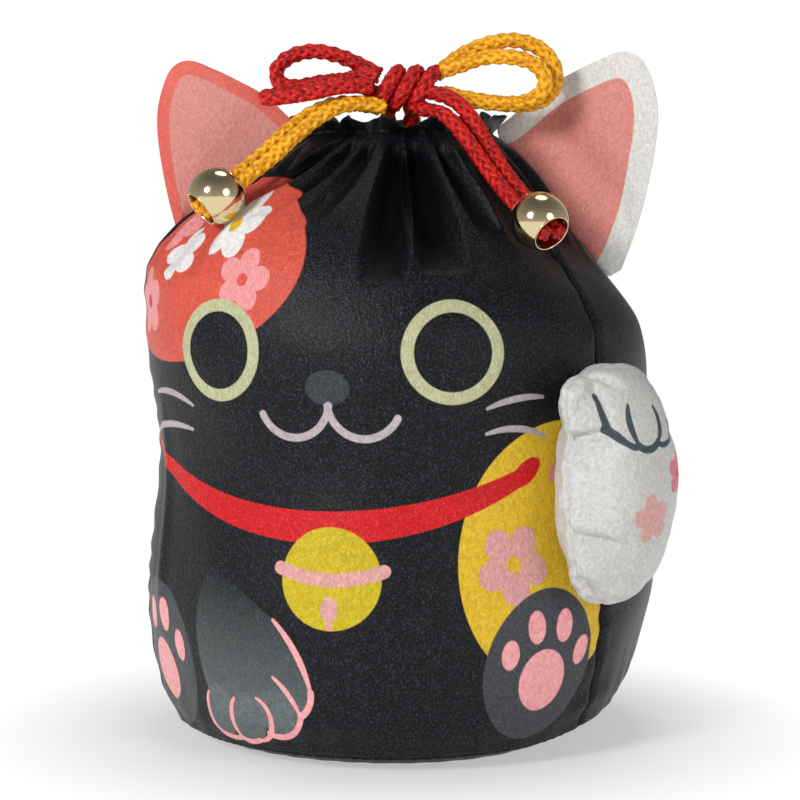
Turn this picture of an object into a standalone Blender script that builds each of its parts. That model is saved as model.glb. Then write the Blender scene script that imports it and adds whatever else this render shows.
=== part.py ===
"""A drawstring pouch with a cat's face: gathered cloth body, round base, ears, stuffed paw and tied cords.

Metres, +Z up. The face looks along -Y and +X is at the viewer's right hand. The origin is the middle of
the base, on the surface that the pouch stands on. Angles go round the axis from the face towards +X.
"""

import math

import bmesh
import bpy
import numpy as np
from mathutils import Vector

# Cloth and clearances
CLEARANCE = 0.0003
WALL = 0.0012
HEM = 0.0009
SEAM_GAP = 0.0003

# Body: the radius of each station of its side, and how far it lies above the one below
BASE_SEAM_RADIUS = 0.0500
BASE_SEAM_HEIGHT = 0.0045
CORNER_RADIUS = 0.0566
CORNER_RISE = 0.0095
BELLY_RADIUS = 0.0590
BELLY_RISE = 0.0190
WAIST_RADIUS = 0.0568
WAIST_RISE = 0.0310
CHEEK_RADIUS = 0.0588
CHEEK_RISE = 0.0320
SHOULDER_RADIUS = 0.0462
SHOULDER_RISE = 0.0220
NECK_RADIUS = 0.0205
NECK_RISE = 0.0225
CHANNEL_SLOPE = math.radians(36.0)
SEAM_ANGLE = math.radians(66.0)

# The shoulders lean over to one side
LEAN = 0.11
LEAN_ANGLE = math.radians(-74.0)

# Gathers and frill; the folds drift, as waves a turn, depth and start, so that no two are alike
FOLDS = 15
FOLD_DRIFT = ((2, 0.9, 0.5), (3, 0.7, 0.0))
FOLD_SHARPNESS = 1.3
FOLD_HEIGHT = 0.0026
FOLD_AT_NECK = 0.0012
FRILL_FLARE = 0.0057
FRILL_RISE = 0.0041
FRILL_THICK = 0.0015
FRILL_WAVE = 0.0012
FRILL_BEND = 0.55
FRILL_EDGE = 0.6
FRILL_DIP = 0.0045
FRILL_DIP_WIDTH = math.radians(40.0)

# Base
BASE_FLAT_RADIUS = 0.0425
BASE_THICK = 0.0015
PIPING_RADIUS = 0.0008
PIPING_TAPE = 0.0040
PIPING_TAPE_THICK = 0.0006
PIPING_SIDES = 8
ROUND_STEPS = 48

# Cords, and the opening in the hem that they come out of
CORD = 0.0038
BOW_ANGLE = math.radians(16.0)
HEM_OPENING = math.radians(40.0)
YELLOW_EXIT = math.radians(31.0)
RED_EXIT = math.radians(15.0)
KNOT_RIGHT = 0.0020
KNOT_FORWARD = 0.0190
KNOT_ABOVE_NECK = 0.0097
KNOT_HALF_WIDTH = 0.0072
KNOT_HALF_DEPTH = 0.0056
KNOT_HALF_HEIGHT = 0.0056
KNOT_WRAPS = 3
KNOT_WRAP_HEIGHT = 0.0005
KNOT_RINGS = 11
KNOT_SIDES = 16
LOOP_STEP = 0.0036
TAIL_STEP = 0.0042
DRAWSTRING_STEP = 0.0045
DRAWSTRING_RING_STEPS = 26

# Beads
BEAD_RADIUS = 0.0064
BEAD_HOLE_RADIUS = CORD + 1.5 * CLEARANCE
BEAD_SIDES = 24
BEAD_STEPS = 8

# Ears; their roots start below the shoulder's station and end above it
EAR_THICK = 0.0032
EAR_EDGE_THICK = 0.0014
EAR_SEAM_WIDTH = 0.0035
EAR_LEFT_BELOW_SHOULDER = 0.0025
EAR_RIGHT_BELOW_SHOULDER = 0.0105
EAR_ABOVE_SHOULDER = 0.0150
EAR_REACH = 0.0150
EAR_HEIGHT = 0.0406
EAR_ROOT_STEPS = 9
EAR_EDGE_STEP = 0.0050
EAR_CORNER = 0.0025
EAR_GAP = 0.0006

# Paw
PAW_ANGLE = math.radians(63.5)
PAW_STANDOFF = 0.0102
PAW_BELOW_WAIST = 0.0295
PAW_ABOVE_WAIST = 0.0250
PAW_HALF_WIDTH = 0.0158
PAW_HALF_DEPTH = 0.0130
PAW_GAP = 0.0005
PAW_LEVELS = 13
PAW_SIDES = 18
PAW_BLUNTNESS = 0.42
PAW_BULGE = 0.10

# How finely the side is divided, from the base to the neck
OUTER_STEP = 0.0095
INNER_STEP = 0.0200
FINE_STEP = 0.0010
FRONT_STEPS = 30
BACK_STEPS = 50
OPENING_STEPS = 16

MM = 0.001


CORNER_HEIGHT = BASE_SEAM_HEIGHT + CORNER_RISE
BELLY_HEIGHT = CORNER_HEIGHT + BELLY_RISE
WAIST_HEIGHT = BELLY_HEIGHT + WAIST_RISE
CHEEK_HEIGHT = WAIST_HEIGHT + CHEEK_RISE
SHOULDER_HEIGHT = CHEEK_HEIGHT + SHOULDER_RISE
NECK_HEIGHT = SHOULDER_HEIGHT + NECK_RISE


def smooth_step(value, low, high):
    """0 below low, 1 above high and a smooth ramp between them."""
    share = min(max((value - low) / (high - low), 0.0), 1.0)
    return share * share * (3.0 - 2.0 * share)


def through(points, step):
    """A smooth curve through the points, as points about step apart."""
    given = np.array(points, float)
    padded = np.vstack([2 * given[0] - given[1], given, 2 * given[-1] - given[-2]])
    line = []
    for i in range(1, len(padded) - 2):
        before, start, end, after = padded[i - 1 : i + 3]
        count = max(1, math.ceil(np.linalg.norm(end - start) / step))
        for t in np.arange(count) / count:
            line.append(
                0.5
                * (
                    2 * start
                    + (end - before) * t
                    + (2 * before - 5 * start + 4 * end - after) * t**2
                    + (3 * start - before - 3 * end + after) * t**3
                )
            )
    line.append(padded[-2])
    return np.array(line)


def channel_point(along, inward):
    """A point of the neck's section: along the channel's slope and inward from its outer face."""
    radius = NECK_RADIUS + along * math.cos(CHANNEL_SLOPE) - inward * math.sin(CHANNEL_SLOPE)
    height = NECK_HEIGHT - along * math.sin(CHANNEL_SLOPE) - inward * math.cos(CHANNEL_SLOPE)
    return radius, height


CHANNEL_WIDTH = 2 * CORD + 3 * CLEARANCE
CHANNEL_DEPTH = CORD + 2 * CLEARANCE
LOWER_CORD = channel_point(1.5 * CORD + 2 * CLEARANCE, WALL + CLEARANCE + CORD / 2)
UPPER_CORD = channel_point(0.5 * CORD + CLEARANCE, WALL + CLEARANCE + CORD / 2)


def side_profile(step):
    """The body's outer side from the base seam to the neck, as radius and height."""
    seam_edge = BASE_SEAM_HEIGHT + PIPING_TAPE_THICK / 2 + SEAM_GAP
    stations = [
        (BASE_SEAM_RADIUS, seam_edge),
        (CORNER_RADIUS, CORNER_HEIGHT),
        (BELLY_RADIUS, BELLY_HEIGHT),
        (WAIST_RADIUS, WAIST_HEIGHT),
        (CHEEK_RADIUS, CHEEK_HEIGHT),
        (SHOULDER_RADIUS, SHOULDER_HEIGHT),
        channel_point(CHANNEL_WIDTH, 0.0),
        channel_point(0.0, 0.0),
    ]
    return through(stations, step)


FINE_PROFILE = side_profile(FINE_STEP)


def lean_at(angle, height):
    """How far the shoulders swell on the side that they lean to, as a factor."""
    top = channel_point(CHANNEL_WIDTH, 0.0)[1]
    share = smooth_step(height, CHEEK_HEIGHT, SHOULDER_HEIGHT)
    share *= 1.0 - smooth_step(height, SHOULDER_HEIGHT, top)
    return 1.0 + LEAN * share * math.cos(angle - LEAN_ANGLE)


def fold_phase(angle):
    """Where a place lies in the row of gathers, one turn for each fold."""
    drift = sum(depth * math.sin(waves * angle + start) for waves, depth, start in FOLD_DRIFT)
    return FOLDS * (angle - BOW_ANGLE) + drift


def gather(angle):
    """0 in a valley and 1 on a ridge of the gathers."""
    return (0.5 + 0.5 * math.cos(fold_phase(angle))) ** FOLD_SHARPNESS


def fold_at(angle, height):
    """How far a gather's ridge stands out of the shoulder."""
    rise = FOLD_HEIGHT * smooth_step(height, CHEEK_HEIGHT, channel_point(CHANNEL_WIDTH, 0.0)[1])
    fall = (FOLD_HEIGHT - FOLD_AT_NECK) * smooth_step(
        height, channel_point(CHANNEL_WIDTH, 0.0)[1], NECK_HEIGHT
    )
    return (rise - fall) * gather(angle)


def outer_radius(angle, height):
    """The body's outer surface at an angle and height."""
    plain = float(np.interp(height, FINE_PROFILE[:, 1], FINE_PROFILE[:, 0]))
    return plain * lean_at(angle, height) + fold_at(angle, height)


def skin_radius(angle, height):
    """The outer surface as the panels are made, straight between the stations of their sides."""
    stations = side_profile(OUTER_STEP)
    radii = [outer_radius(angle, z) if z > CHEEK_HEIGHT else r for r, z in stations]
    return float(np.interp(height, stations[:, 1], radii))


def at(angle, radius, height):
    return Vector((radius * math.sin(angle), -radius * math.cos(angle), height))


def bow_point(place):
    """A place in the bow's frame (right, forward, up) in the pouch's frame."""
    right, forward, up = place
    x = right * math.cos(BOW_ANGLE) + forward * math.sin(BOW_ANGLE)
    y = right * math.sin(BOW_ANGLE) - forward * math.cos(BOW_ANGLE)
    return Vector((x, y, up))


def material(name, colour, roughness, metallic=0.0):
    made = bpy.data.materials.new(name)
    made.use_nodes = True
    shader = made.node_tree.nodes["Principled BSDF"]
    shader.inputs["Base Color"].default_value = (*colour, 1.0)
    shader.inputs["Roughness"].default_value = roughness
    shader.inputs["Metallic"].default_value = metallic
    made.diffuse_color = (*colour, 1.0)
    return made


def add_object(name, data, finish):
    made = bpy.data.objects.new(name, data)
    bpy.context.scene.collection.objects.link(made)
    data.materials.append(finish)
    return made


def add_mesh(name, points, faces, finish):
    """A closed mesh, faces turned outwards and shaded smooth."""
    mesh = bpy.data.meshes.new(name)
    mesh.from_pydata([tuple(p) for p in points], [], faces)
    solid = bmesh.new()
    solid.from_mesh(mesh)
    bmesh.ops.recalc_face_normals(solid, faces=solid.faces)
    solid.to_mesh(mesh)
    solid.free()
    mesh.shade_smooth()
    mesh.set_sharp_from_angle(angle=math.radians(40.0))
    return add_object(name, mesh, finish)


def loft(name, rings, finish, closed=False):
    """Skin a row of rings of equally many points, capped at both ends unless it closes on itself."""
    count = len(rings[0])
    points = [p for ring in rings for p in ring]
    faces = []
    spans = len(rings) if closed else len(rings) - 1
    for i in range(spans):
        here, there = i * count, (i + 1) % len(rings) * count
        for j in range(count):
            k = (j + 1) % count
            faces.append((here + j, here + k, there + k, there + j))
    if not closed:
        faces.append(tuple(range(count)))
        last = (len(rings) - 1) * count
        faces.append(tuple(last + j for j in reversed(range(count))))
    return add_mesh(name, points, faces, finish)


def pointed_faces(count, sides):
    """The faces of rings of equally many points between a first and a last point."""
    faces = []
    rings = (count - 2) // sides
    for j in range(sides):
        k = (j + 1) % sides
        faces.append((0, 1 + k, 1 + j))
        for i in range(rings - 1):
            low, high = 1 + i * sides, 1 + (i + 1) * sides
            faces.append((low + j, low + k, high + k, high + j))
        last = 1 + (rings - 1) * sides
        faces.append((last + j, last + k, count - 1))
    return faces


def panel_section(angle):
    """The section of a body panel at one angle: side, frill, and the hem that folds down inside."""
    outer = side_profile(OUTER_STEP)
    ring = [(outer_radius(angle, z) if z > CHEEK_HEIGHT else r, z) for r, z in outer]
    turn = (angle - BOW_ANGLE + math.pi) % (2 * math.pi) - math.pi
    top = NECK_HEIGHT + FRILL_RISE - FRILL_DIP * math.exp(-((turn / FRILL_DIP_WIDTH) ** 2))
    rim = NECK_RADIUS + FRILL_FLARE + FRILL_WAVE * math.cos(fold_phase(angle))
    half_way = NECK_RADIUS + FRILL_BEND * (rim - NECK_RADIUS)
    half_up = (NECK_HEIGHT + top) / 2
    edge = FRILL_THICK * FRILL_EDGE
    ring.append((half_way, half_up))
    ring.append((rim, top))
    ring.append((rim - edge, top + edge))
    ring.append((half_way - FRILL_THICK, half_up + edge))
    ring.append((NECK_RADIUS - FRILL_THICK, NECK_HEIGHT))
    inner_hem = WALL + CHANNEL_DEPTH + HEM
    ring.append(channel_point(-HEM, inner_hem))
    ring.append(channel_point(CHANNEL_WIDTH + HEM, inner_hem))
    ring.append(channel_point(CHANNEL_WIDTH + HEM, WALL + 1.5 * CLEARANCE))
    ring.append(channel_point(CHANNEL_WIDTH, WALL + 1.5 * CLEARANCE))
    ring.append(channel_point(CHANNEL_WIDTH, WALL + CHANNEL_DEPTH))
    ring.append(channel_point(0.0, WALL + CHANNEL_DEPTH))
    ring.append(channel_point(0.0, WALL))
    inner = side_profile(INNER_STEP)
    slope = np.gradient(inner, axis=0)
    for (r, z), (dr, dz) in list(zip(inner, slope))[-2::-1]:
        length = math.hypot(dr, dz)
        radius = r * lean_at(angle, z) - WALL * dz / length
        ring.append((radius, z + WALL * dr / length if z > BASE_SEAM_HEIGHT + WALL else z))
    return [at(angle, r, z) for r, z in ring]


def panel(name, start, end, steps, finish):
    angles = [start + (end - start) * i / steps for i in range(steps + 1)]
    return loft(name, [panel_section(a) for a in angles], finish)


def cut_hem_opening(front):
    """Take the hem away where the cords leave the channel."""
    corners = [
        channel_point(-2.0 * FRILL_THICK, WALL + CLEARANCE),
        channel_point(CHANNEL_WIDTH + 2.0 * HEM, WALL + CLEARANCE),
        channel_point(CHANNEL_WIDTH + 2.0 * HEM, WALL + CHANNEL_DEPTH + 3.0 * HEM),
        channel_point(-2.0 * FRILL_THICK, WALL + CHANNEL_DEPTH + 3.0 * HEM),
    ]
    angles = [
        BOW_ANGLE + HEM_OPENING * (2.0 * i / OPENING_STEPS - 1.0) for i in range(OPENING_STEPS + 1)
    ]
    cutter = loft(
        "hem_opening_cutter",
        [[at(a, r, z) for r, z in corners] for a in angles],
        material("cutter", (0.5, 0.5, 0.5), 0.5),
    )
    cutter.hide_render = True
    cutter.display_type = "WIRE"
    cut = front.modifiers.new("hem opening", "BOOLEAN")
    cut.operation = "DIFFERENCE"
    cut.object = cutter


def turned(name, profile, segments, finish, closed_profile):
    """A solid of revolution about Z; an open profile starts and ends on the axis."""
    if closed_profile:
        rings = [
            [Vector((r * math.cos(a), r * math.sin(a), z)) for r, z in profile]
            for a in (2 * math.pi * i / segments for i in range(segments))
        ]
        return loft(name, rings, finish, closed=True)
    points = [Vector((0, 0, profile[0][1]))]
    for r, z in profile[1:-1]:
        points += [
            Vector((r * math.cos(a), r * math.sin(a), z))
            for a in (2 * math.pi * i / segments for i in range(segments))
        ]
    points.append(Vector((0, 0, profile[-1][1])))
    return add_mesh(name, points, pointed_faces(len(points), segments), finish)


def base_panel(finish):
    """A shallow dish whose rim is sewn to the side just below the piping."""
    rim = BASE_SEAM_HEIGHT - PIPING_TAPE_THICK / 2 - SEAM_GAP
    reach = BASE_SEAM_RADIUS - BASE_FLAT_RADIUS
    profile = [(0.0, 0.0), (BASE_FLAT_RADIUS, 0.0)]
    for turn in (0.35, 0.7):
        a = turn * math.pi / 2
        profile.append((BASE_FLAT_RADIUS + reach * math.sin(a), rim * (1 - math.cos(a))))
    profile += [
        (BASE_SEAM_RADIUS, rim),
        (BASE_SEAM_RADIUS - WALL, rim),
        (BASE_FLAT_RADIUS - 0.5 * WALL, BASE_THICK),
        (0.0, BASE_THICK),
    ]
    return turned("base_panel", profile, ROUND_STEPS, finish, closed_profile=False)


def base_piping(finish):
    """The piping cord with the tape that holds it in the base seam."""
    centre = BASE_SEAM_RADIUS + CLEARANCE + PIPING_RADIUS
    half = PIPING_TAPE_THICK / 2
    start = math.asin(half / PIPING_RADIUS)
    profile = [(BASE_SEAM_RADIUS - PIPING_TAPE, BASE_SEAM_HEIGHT - half)]
    for i in range(PIPING_SIDES):
        a = math.pi + start + (2 * math.pi - 2 * start) * i / (PIPING_SIDES - 1)
        across, up = PIPING_RADIUS * math.cos(a), PIPING_RADIUS * math.sin(a)
        profile.append((centre + across, BASE_SEAM_HEIGHT + up))
    profile.append((BASE_SEAM_RADIUS - PIPING_TAPE, BASE_SEAM_HEIGHT + half))
    return turned("base_piping", profile, ROUND_STEPS, finish, closed_profile=True)


# The ear's free edge in its own plane, from the shoulder's station, as shares of its reach and height
EAR_FREE_EDGE = [
    (-1.08, 0.47),
    (-1.05, 0.76),
    (-0.61, 0.83),
    (-0.08, 0.92),
    (0.39, 1.00),
    (0.75, 0.96),
    (0.97, 0.76),
    (1.00, 0.57),
    (0.87, 0.27),
    (0.71, 0.02),
    (0.59, -0.18),
]


def ear_outline(root_low):
    """The ear's free edge in its own plane, as distance from the axis and height."""
    edge = [
        (SHOULDER_RADIUS + out * EAR_REACH, SHOULDER_HEIGHT + up * EAR_HEIGHT)
        for out, up in EAR_FREE_EDGE
    ]
    return [p for p in through(edge, EAR_EDGE_STEP) if p[1] > root_low + EAR_CORNER]


def ear(name, side, below_shoulder, finish):
    """A flat sewn ear that stands on the shoulder, thin at its seam and fuller inside it."""
    angle = side * math.pi / 2
    root_low = SHOULDER_HEIGHT - below_shoulder
    root_high = SHOULDER_HEIGHT + EAR_ABOVE_SHOULDER
    root = []
    for i in range(EAR_ROOT_STEPS + 1):
        z = root_low + (root_high - root_low) * i / EAR_ROOT_STEPS
        widest = max(
            skin_radius(angle + shift * EAR_THICK / 2 / SHOULDER_RADIUS, z)
            for shift in (-1, 0, 1)
        )
        root.append((widest + EAR_GAP, z))
    outline = root + [tuple(p) for p in ear_outline(root_low)]
    middle = np.mean(outline, axis=0)
    inset = []
    for r, z in outline:
        away = np.array([r, z]) - middle
        length = np.linalg.norm(away)
        inset.append(tuple(middle + away * (length - EAR_SEAM_WIDTH) / length))
    count = len(outline)
    points = []
    for ring, half in (
        (inset, -EAR_THICK / 2),
        (outline, -EAR_EDGE_THICK / 2),
        (outline, EAR_EDGE_THICK / 2),
        (inset, EAR_THICK / 2),
    ):
        points += [Vector((side * r, half, z)) for r, z in ring]
    faces = []
    for row in range(3):
        for j in range(count):
            k = (j + 1) % count
            a, b = row * count, (row + 1) * count
            faces.append((a + j, a + k, b + k, b + j))
    faces.append(tuple(range(count)))
    faces.append(tuple(3 * count + j for j in reversed(range(count))))
    return add_mesh(name, points, faces, finish)


def paw_width(share):
    """The paw's width and depth from its foot to its top, as a share of the widest."""
    round_end = math.sin(math.pi * share)
    return round_end**PAW_BLUNTNESS * (1.0 - PAW_BULGE + PAW_BULGE * round_end)


def beckoning_paw(finish):
    """A stuffed paw whose back lies against the pouch's side."""
    low = WAIST_HEIGHT - PAW_BELOW_WAIST
    high = WAIST_HEIGHT + PAW_ABOVE_WAIST
    body = skin_radius(PAW_ANGLE, (low + high) / 2)
    centre = at(PAW_ANGLE, body + PAW_STANDOFF, 0.0)
    out = at(PAW_ANGLE, 1.0, 0.0)
    across = Vector((-out.y, out.x, 0.0))

    def clear(point):
        """Keep a point off the pouch's side."""
        angle = math.atan2(point.x, -point.y)
        least = skin_radius(angle, point.z) + PAW_GAP
        radius = math.hypot(point.x, point.y)
        return at(angle, max(radius, least), point.z)

    points = [clear(centre + Vector((0, 0, low)))]
    for i in range(1, PAW_LEVELS):
        share = 0.5 - 0.5 * math.cos(math.pi * i / PAW_LEVELS)
        size = paw_width(share)
        z = low + (high - low) * share
        for j in range(PAW_SIDES):
            a = 2 * math.pi * j / PAW_SIDES
            sideways = across * (PAW_HALF_WIDTH * size * math.cos(a))
            outwards = out * (PAW_HALF_DEPTH * size * math.sin(a))
            points.append(clear(centre + sideways + outwards + Vector((0, 0, z))))
    points.append(clear(centre + Vector((0, 0, high))))
    return add_mesh("beckoning_paw", points, pointed_faces(len(points), PAW_SIDES), finish)


def cord_tube(name, line, finish):
    """A cord as a round tube along its points, with closed ends."""
    data = bpy.data.curves.new(name, "CURVE")
    data.dimensions = "3D"
    data.bevel_mode = "ROUND"
    data.bevel_depth = CORD / 2
    data.bevel_resolution = 2
    data.use_fill_caps = True
    spline = data.splines.new("POLY")
    spline.points.add(len(line) - 1)
    for point, place in zip(spline.points, line):
        point.co = (*place, 1.0)
    return add_object(name, data, finish)


def route(points):
    """A cord's route in the bow's frame, in millimetres from the neck, in the pouch's frame."""
    return [bow_point(Vector(p) * MM + Vector((0, 0, NECK_HEIGHT))) for p in points]


# Cord routes in millimetres: to the right of the bow, forward from the axis and up from the neck.
# The feeds are where each drawstring leaves its ring for the knot, right-hand side; the other side
# is its mirror image.
RED_FEED = [
    (4.0, 22.1, -6.0),
    (2.6, 19.4, -3.8),
    (2.4, 16.1, -1.2),
    (2.4, 15.2, 1.7),
    (2.8, 15.4, 4.0),
]
YELLOW_FEED = [
    (7.4, 14.0, -3.1),
    (4.6, 11.4, -0.3),
    (3.0, 10.4, 3.1),
    (2.4, 10.4, 6.1),
    (2.4, 11.8, 8.3),
]


def drawstring(name, place, leave, feed, finish):
    """One cord round its channel, with both ends led up to the knot."""
    right = route(feed)
    left = route([(-t, r, z) for t, r, z in feed])
    ring = []
    for i in range(DRAWSTRING_RING_STEPS + 1):
        angle = BOW_ANGLE + leave + (2 * math.pi - 2 * leave) * i / DRAWSTRING_RING_STEPS
        ring.append(at(angle, *place))
    line = through([*reversed(right), *ring, *left], DRAWSTRING_STEP)
    return cord_tube(name, line, finish)


RED_LOOP_A = [
    (-4.8, 15.0, 13.1),
    (-9.0, 14.4, 15.3),
    (-14.0, 14.0, 17.4),
    (-19.6, 13.8, 18.5),
    (-25.0, 14.0, 17.3),
    (-28.2, 14.6, 14.3),
    (-27.4, 15.2, 11.1),
    (-23.4, 16.0, 10.3),
    (-17.6, 16.2, 11.3),
    (-11.5, 16.2, 11.5),
    (-5.6, 16.2, 8.9),
]
RED_LOOP_B = [
    (-5.2, 20.8, 12.5),
    (-12.0, 20.6, 11.7),
    (-19.0, 20.4, 10.1),
    (-25.0, 20.6, 8.9),
    (-29.4, 22.0, 7.9),
    (-30.2, 24.6, 7.3),
    (-27.0, 26.6, 7.3),
    (-20.0, 26.4, 8.3),
    (-13.0, 25.6, 9.8),
    (-6.4, 24.4, 9.9),
]
YELLOW_LOOP_A = [
    (8.2, 14.4, 13.1),
    (14.0, 14.6, 17.5),
    (20.3, 15.6, 20.1),
    (26.5, 16.6, 20.7),
    (32.0, 17.6, 18.7),
    (35.0, 18.2, 14.9),
    (35.2, 18.2, 10.5),
    (32.4, 17.4, 7.1),
    (27.6, 16.4, 6.1),
    (21.6, 15.6, 6.7),
    (15.6, 14.8, 7.7),
    (9.4, 14.2, 8.7),
]
YELLOW_LOOP_B = [
    (8.6, 18.8, 13.3),
    (13.6, 19.4, 14.9),
    (18.6, 20.2, 16.5),
    (24.2, 21.2, 16.7),
    (29.4, 22.2, 15.5),
    (32.6, 22.8, 12.3),
    (32.0, 22.6, 8.7),
    (28.0, 21.8, 6.5),
    (22.0, 20.6, 6.3),
    (16.0, 19.4, 7.1),
    (9.8, 18.4, 8.9),
]
YELLOW_TAIL = [
    (-4.2, 20.6, 5.4),
    (-9.0, 22.2, 6.1),
    (-14.0, 24.0, 5.7),
    (-19.0, 26.2, 3.3),
    (-24.4, 28.2, -0.9),
    (-29.4, 29.8, -5.7),
    (-34.9, 32.2, -10.1),
    (-40.5, 34.8, -14.8),
    (-44.2, 36.2, -18.1),
]
RED_TAIL = [
    (7.2, 23.0, 6.5),
    (9.8, 25.4, 5.7),
    (12.6, 27.8, 3.7),
    (15.6, 29.4, -0.1),
    (18.8, 30.8, -5.1),
    (22.4, 34.8, -10.7),
    (26.4, 39.8, -15.9),
    (30.3, 44.4, -20.3),
    (33.0, 47.6, -23.2),
]


def pair_of_tails(names, points, bead_index, start_normal, finish):
    """Two cords side by side along one route, abreast on the cloth and in the bead."""
    middle = through(route(points), TAIL_STEP)
    along = np.gradient(middle, axis=0)
    along /= np.linalg.norm(along, axis=1)[:, None]
    bead_centre = np.array(route(points)[bead_index])
    first = np.array(bow_point(Vector(start_normal)))
    half = CORD / 2 + CLEARANCE / 2
    left, right = [], []
    for i, (place, way) in enumerate(zip(middle, along)):
        share = smooth_step(i / len(middle), 0.0, 0.6)
        outward = np.array([place[0], place[1], math.hypot(place[0], place[1])])
        outward /= np.linalg.norm(outward)
        across = np.cross(way, (1.0 - share) * first + share * outward)
        across *= half / np.linalg.norm(across)
        left.append(place - across)
        right.append(place + across)
    for name, line in zip(names, (left, right)):
        cord_tube(name, line, finish)
    nearest = int(np.argmin(np.linalg.norm(middle - bead_centre, axis=1)))
    return bead_centre, along[nearest]


def bead(name, centre, axis, finish):
    """A round bead with a wide hole, threaded on both ends of one cord."""
    half_hole = math.sqrt(BEAD_RADIUS**2 - BEAD_HOLE_RADIUS**2)
    limit = math.atan2(half_hole, BEAD_HOLE_RADIUS)
    profile = [
        (BEAD_RADIUS * math.cos(a), BEAD_RADIUS * math.sin(a))
        for a in (limit * (2.0 * i / BEAD_STEPS - 1.0) for i in range(BEAD_STEPS + 1))
    ]
    made = turned(name, profile, BEAD_SIDES, finish, closed_profile=True)
    made.location = centre
    made.rotation_mode = "QUATERNION"
    made.rotation_quaternion = Vector((0, 0, 1)).rotation_difference(Vector(axis))
    return made


def bow_knot(finish):
    """The knot's outer shape, with the ridges of the cord wrapped round it."""
    centre = Vector((KNOT_RIGHT, KNOT_FORWARD, NECK_HEIGHT + KNOT_ABOVE_NECK))
    points = [bow_point(centre - Vector((KNOT_HALF_WIDTH, 0, 0)))]
    for i in range(1, KNOT_RINGS):
        a = math.pi * i / KNOT_RINGS
        size = math.sin(a)
        along = -math.cos(a)
        wrap = 1.0 + KNOT_WRAP_HEIGHT / KNOT_HALF_HEIGHT * math.cos(KNOT_WRAPS * math.pi * along)
        for j in range(KNOT_SIDES):
            b = 2 * math.pi * j / KNOT_SIDES
            offset = Vector(
                (
                    KNOT_HALF_WIDTH * along,
                    KNOT_HALF_DEPTH * size * wrap * math.cos(b),
                    KNOT_HALF_HEIGHT * size * wrap * math.sin(b),
                )
            )
            points.append(bow_point(centre + offset))
    points.append(bow_point(centre + Vector((KNOT_HALF_WIDTH, 0, 0))))
    return add_mesh("bow_knot", points, pointed_faces(len(points), KNOT_SIDES), finish)


def build():
    for old in list(bpy.data.objects):
        bpy.data.objects.remove(old)

    black_cloth = material("black_cloth", (0.008, 0.008, 0.010), 0.55)
    coral_cloth = material("coral_cloth", (0.70, 0.10, 0.06), 0.6)
    white_cloth = material("white_cloth", (0.75, 0.73, 0.70), 0.6)
    red_cord = material("red_cord", (0.50, 0.012, 0.010), 0.55)
    yellow_cord = material("yellow_cord", (0.70, 0.32, 0.012), 0.55)
    gold = material("gold", (0.62, 0.50, 0.22), 0.15, 1.0)

    seam = SEAM_ANGLE
    gap = SEAM_GAP / 2 / BELLY_RADIUS
    front = panel("front_panel", -seam + gap, seam - gap, FRONT_STEPS, black_cloth)
    cut_hem_opening(front)
    panel("back_panel", seam + gap, 2 * math.pi - seam - gap, BACK_STEPS, black_cloth)
    base_panel(black_cloth)
    base_piping(black_cloth)
    ear("ear_left", -1, EAR_LEFT_BELOW_SHOULDER, coral_cloth)
    ear("ear_right", 1, EAR_RIGHT_BELOW_SHOULDER, white_cloth)
    beckoning_paw(white_cloth)

    drawstring("red_drawstring", LOWER_CORD, RED_EXIT, RED_FEED, red_cord)
    drawstring("yellow_drawstring", UPPER_CORD, YELLOW_EXIT, YELLOW_FEED, yellow_cord)
    bow_knot(red_cord)
    cord_tube("red_loop_a", through(route(RED_LOOP_A), LOOP_STEP), red_cord)
    cord_tube("red_loop_b", through(route(RED_LOOP_B), LOOP_STEP), red_cord)
    cord_tube("yellow_loop_a", through(route(YELLOW_LOOP_A), LOOP_STEP), yellow_cord)
    cord_tube("yellow_loop_b", through(route(YELLOW_LOOP_B), LOOP_STEP), yellow_cord)
    place, way = pair_of_tails(("yellow_tail_a", "yellow_tail_b"), YELLOW_TAIL, -2, (0, 0, 1), yellow_cord)
    bead("bead_left", place, way, gold)
    place, way = pair_of_tails(("red_tail_a", "red_tail_b"), RED_TAIL, -2, (0, 1, 0), red_cord)
    bead("bead_right", place, way, gold)


build()
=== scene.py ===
"""The looks of a drawstring pouch with a cat's face: printed crepe satin, sewn ears, a stuffed paw,
braided cords tied in a bow, and gold beads.

Metres, +Z up. The face looks along -Y and +X is at the viewer's right hand. Angles go round the axis
from the face towards +X. Places on the print are in millimetres: round the side from the face's
middle, and up from the base.
"""

import math

import bmesh
import bpy
import numpy as np
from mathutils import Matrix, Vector


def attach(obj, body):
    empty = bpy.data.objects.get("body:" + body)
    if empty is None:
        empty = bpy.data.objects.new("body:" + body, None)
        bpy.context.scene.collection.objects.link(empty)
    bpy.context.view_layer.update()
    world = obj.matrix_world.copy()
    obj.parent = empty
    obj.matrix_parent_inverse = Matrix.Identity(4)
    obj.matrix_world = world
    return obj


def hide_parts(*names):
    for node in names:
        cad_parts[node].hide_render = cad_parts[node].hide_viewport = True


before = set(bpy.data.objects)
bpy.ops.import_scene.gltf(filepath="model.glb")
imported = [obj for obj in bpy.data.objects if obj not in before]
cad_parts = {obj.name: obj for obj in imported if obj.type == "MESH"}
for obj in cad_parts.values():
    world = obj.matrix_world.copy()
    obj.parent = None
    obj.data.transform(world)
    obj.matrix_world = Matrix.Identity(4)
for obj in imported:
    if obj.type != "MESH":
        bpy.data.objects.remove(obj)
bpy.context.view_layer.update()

MM = 0.001

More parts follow.
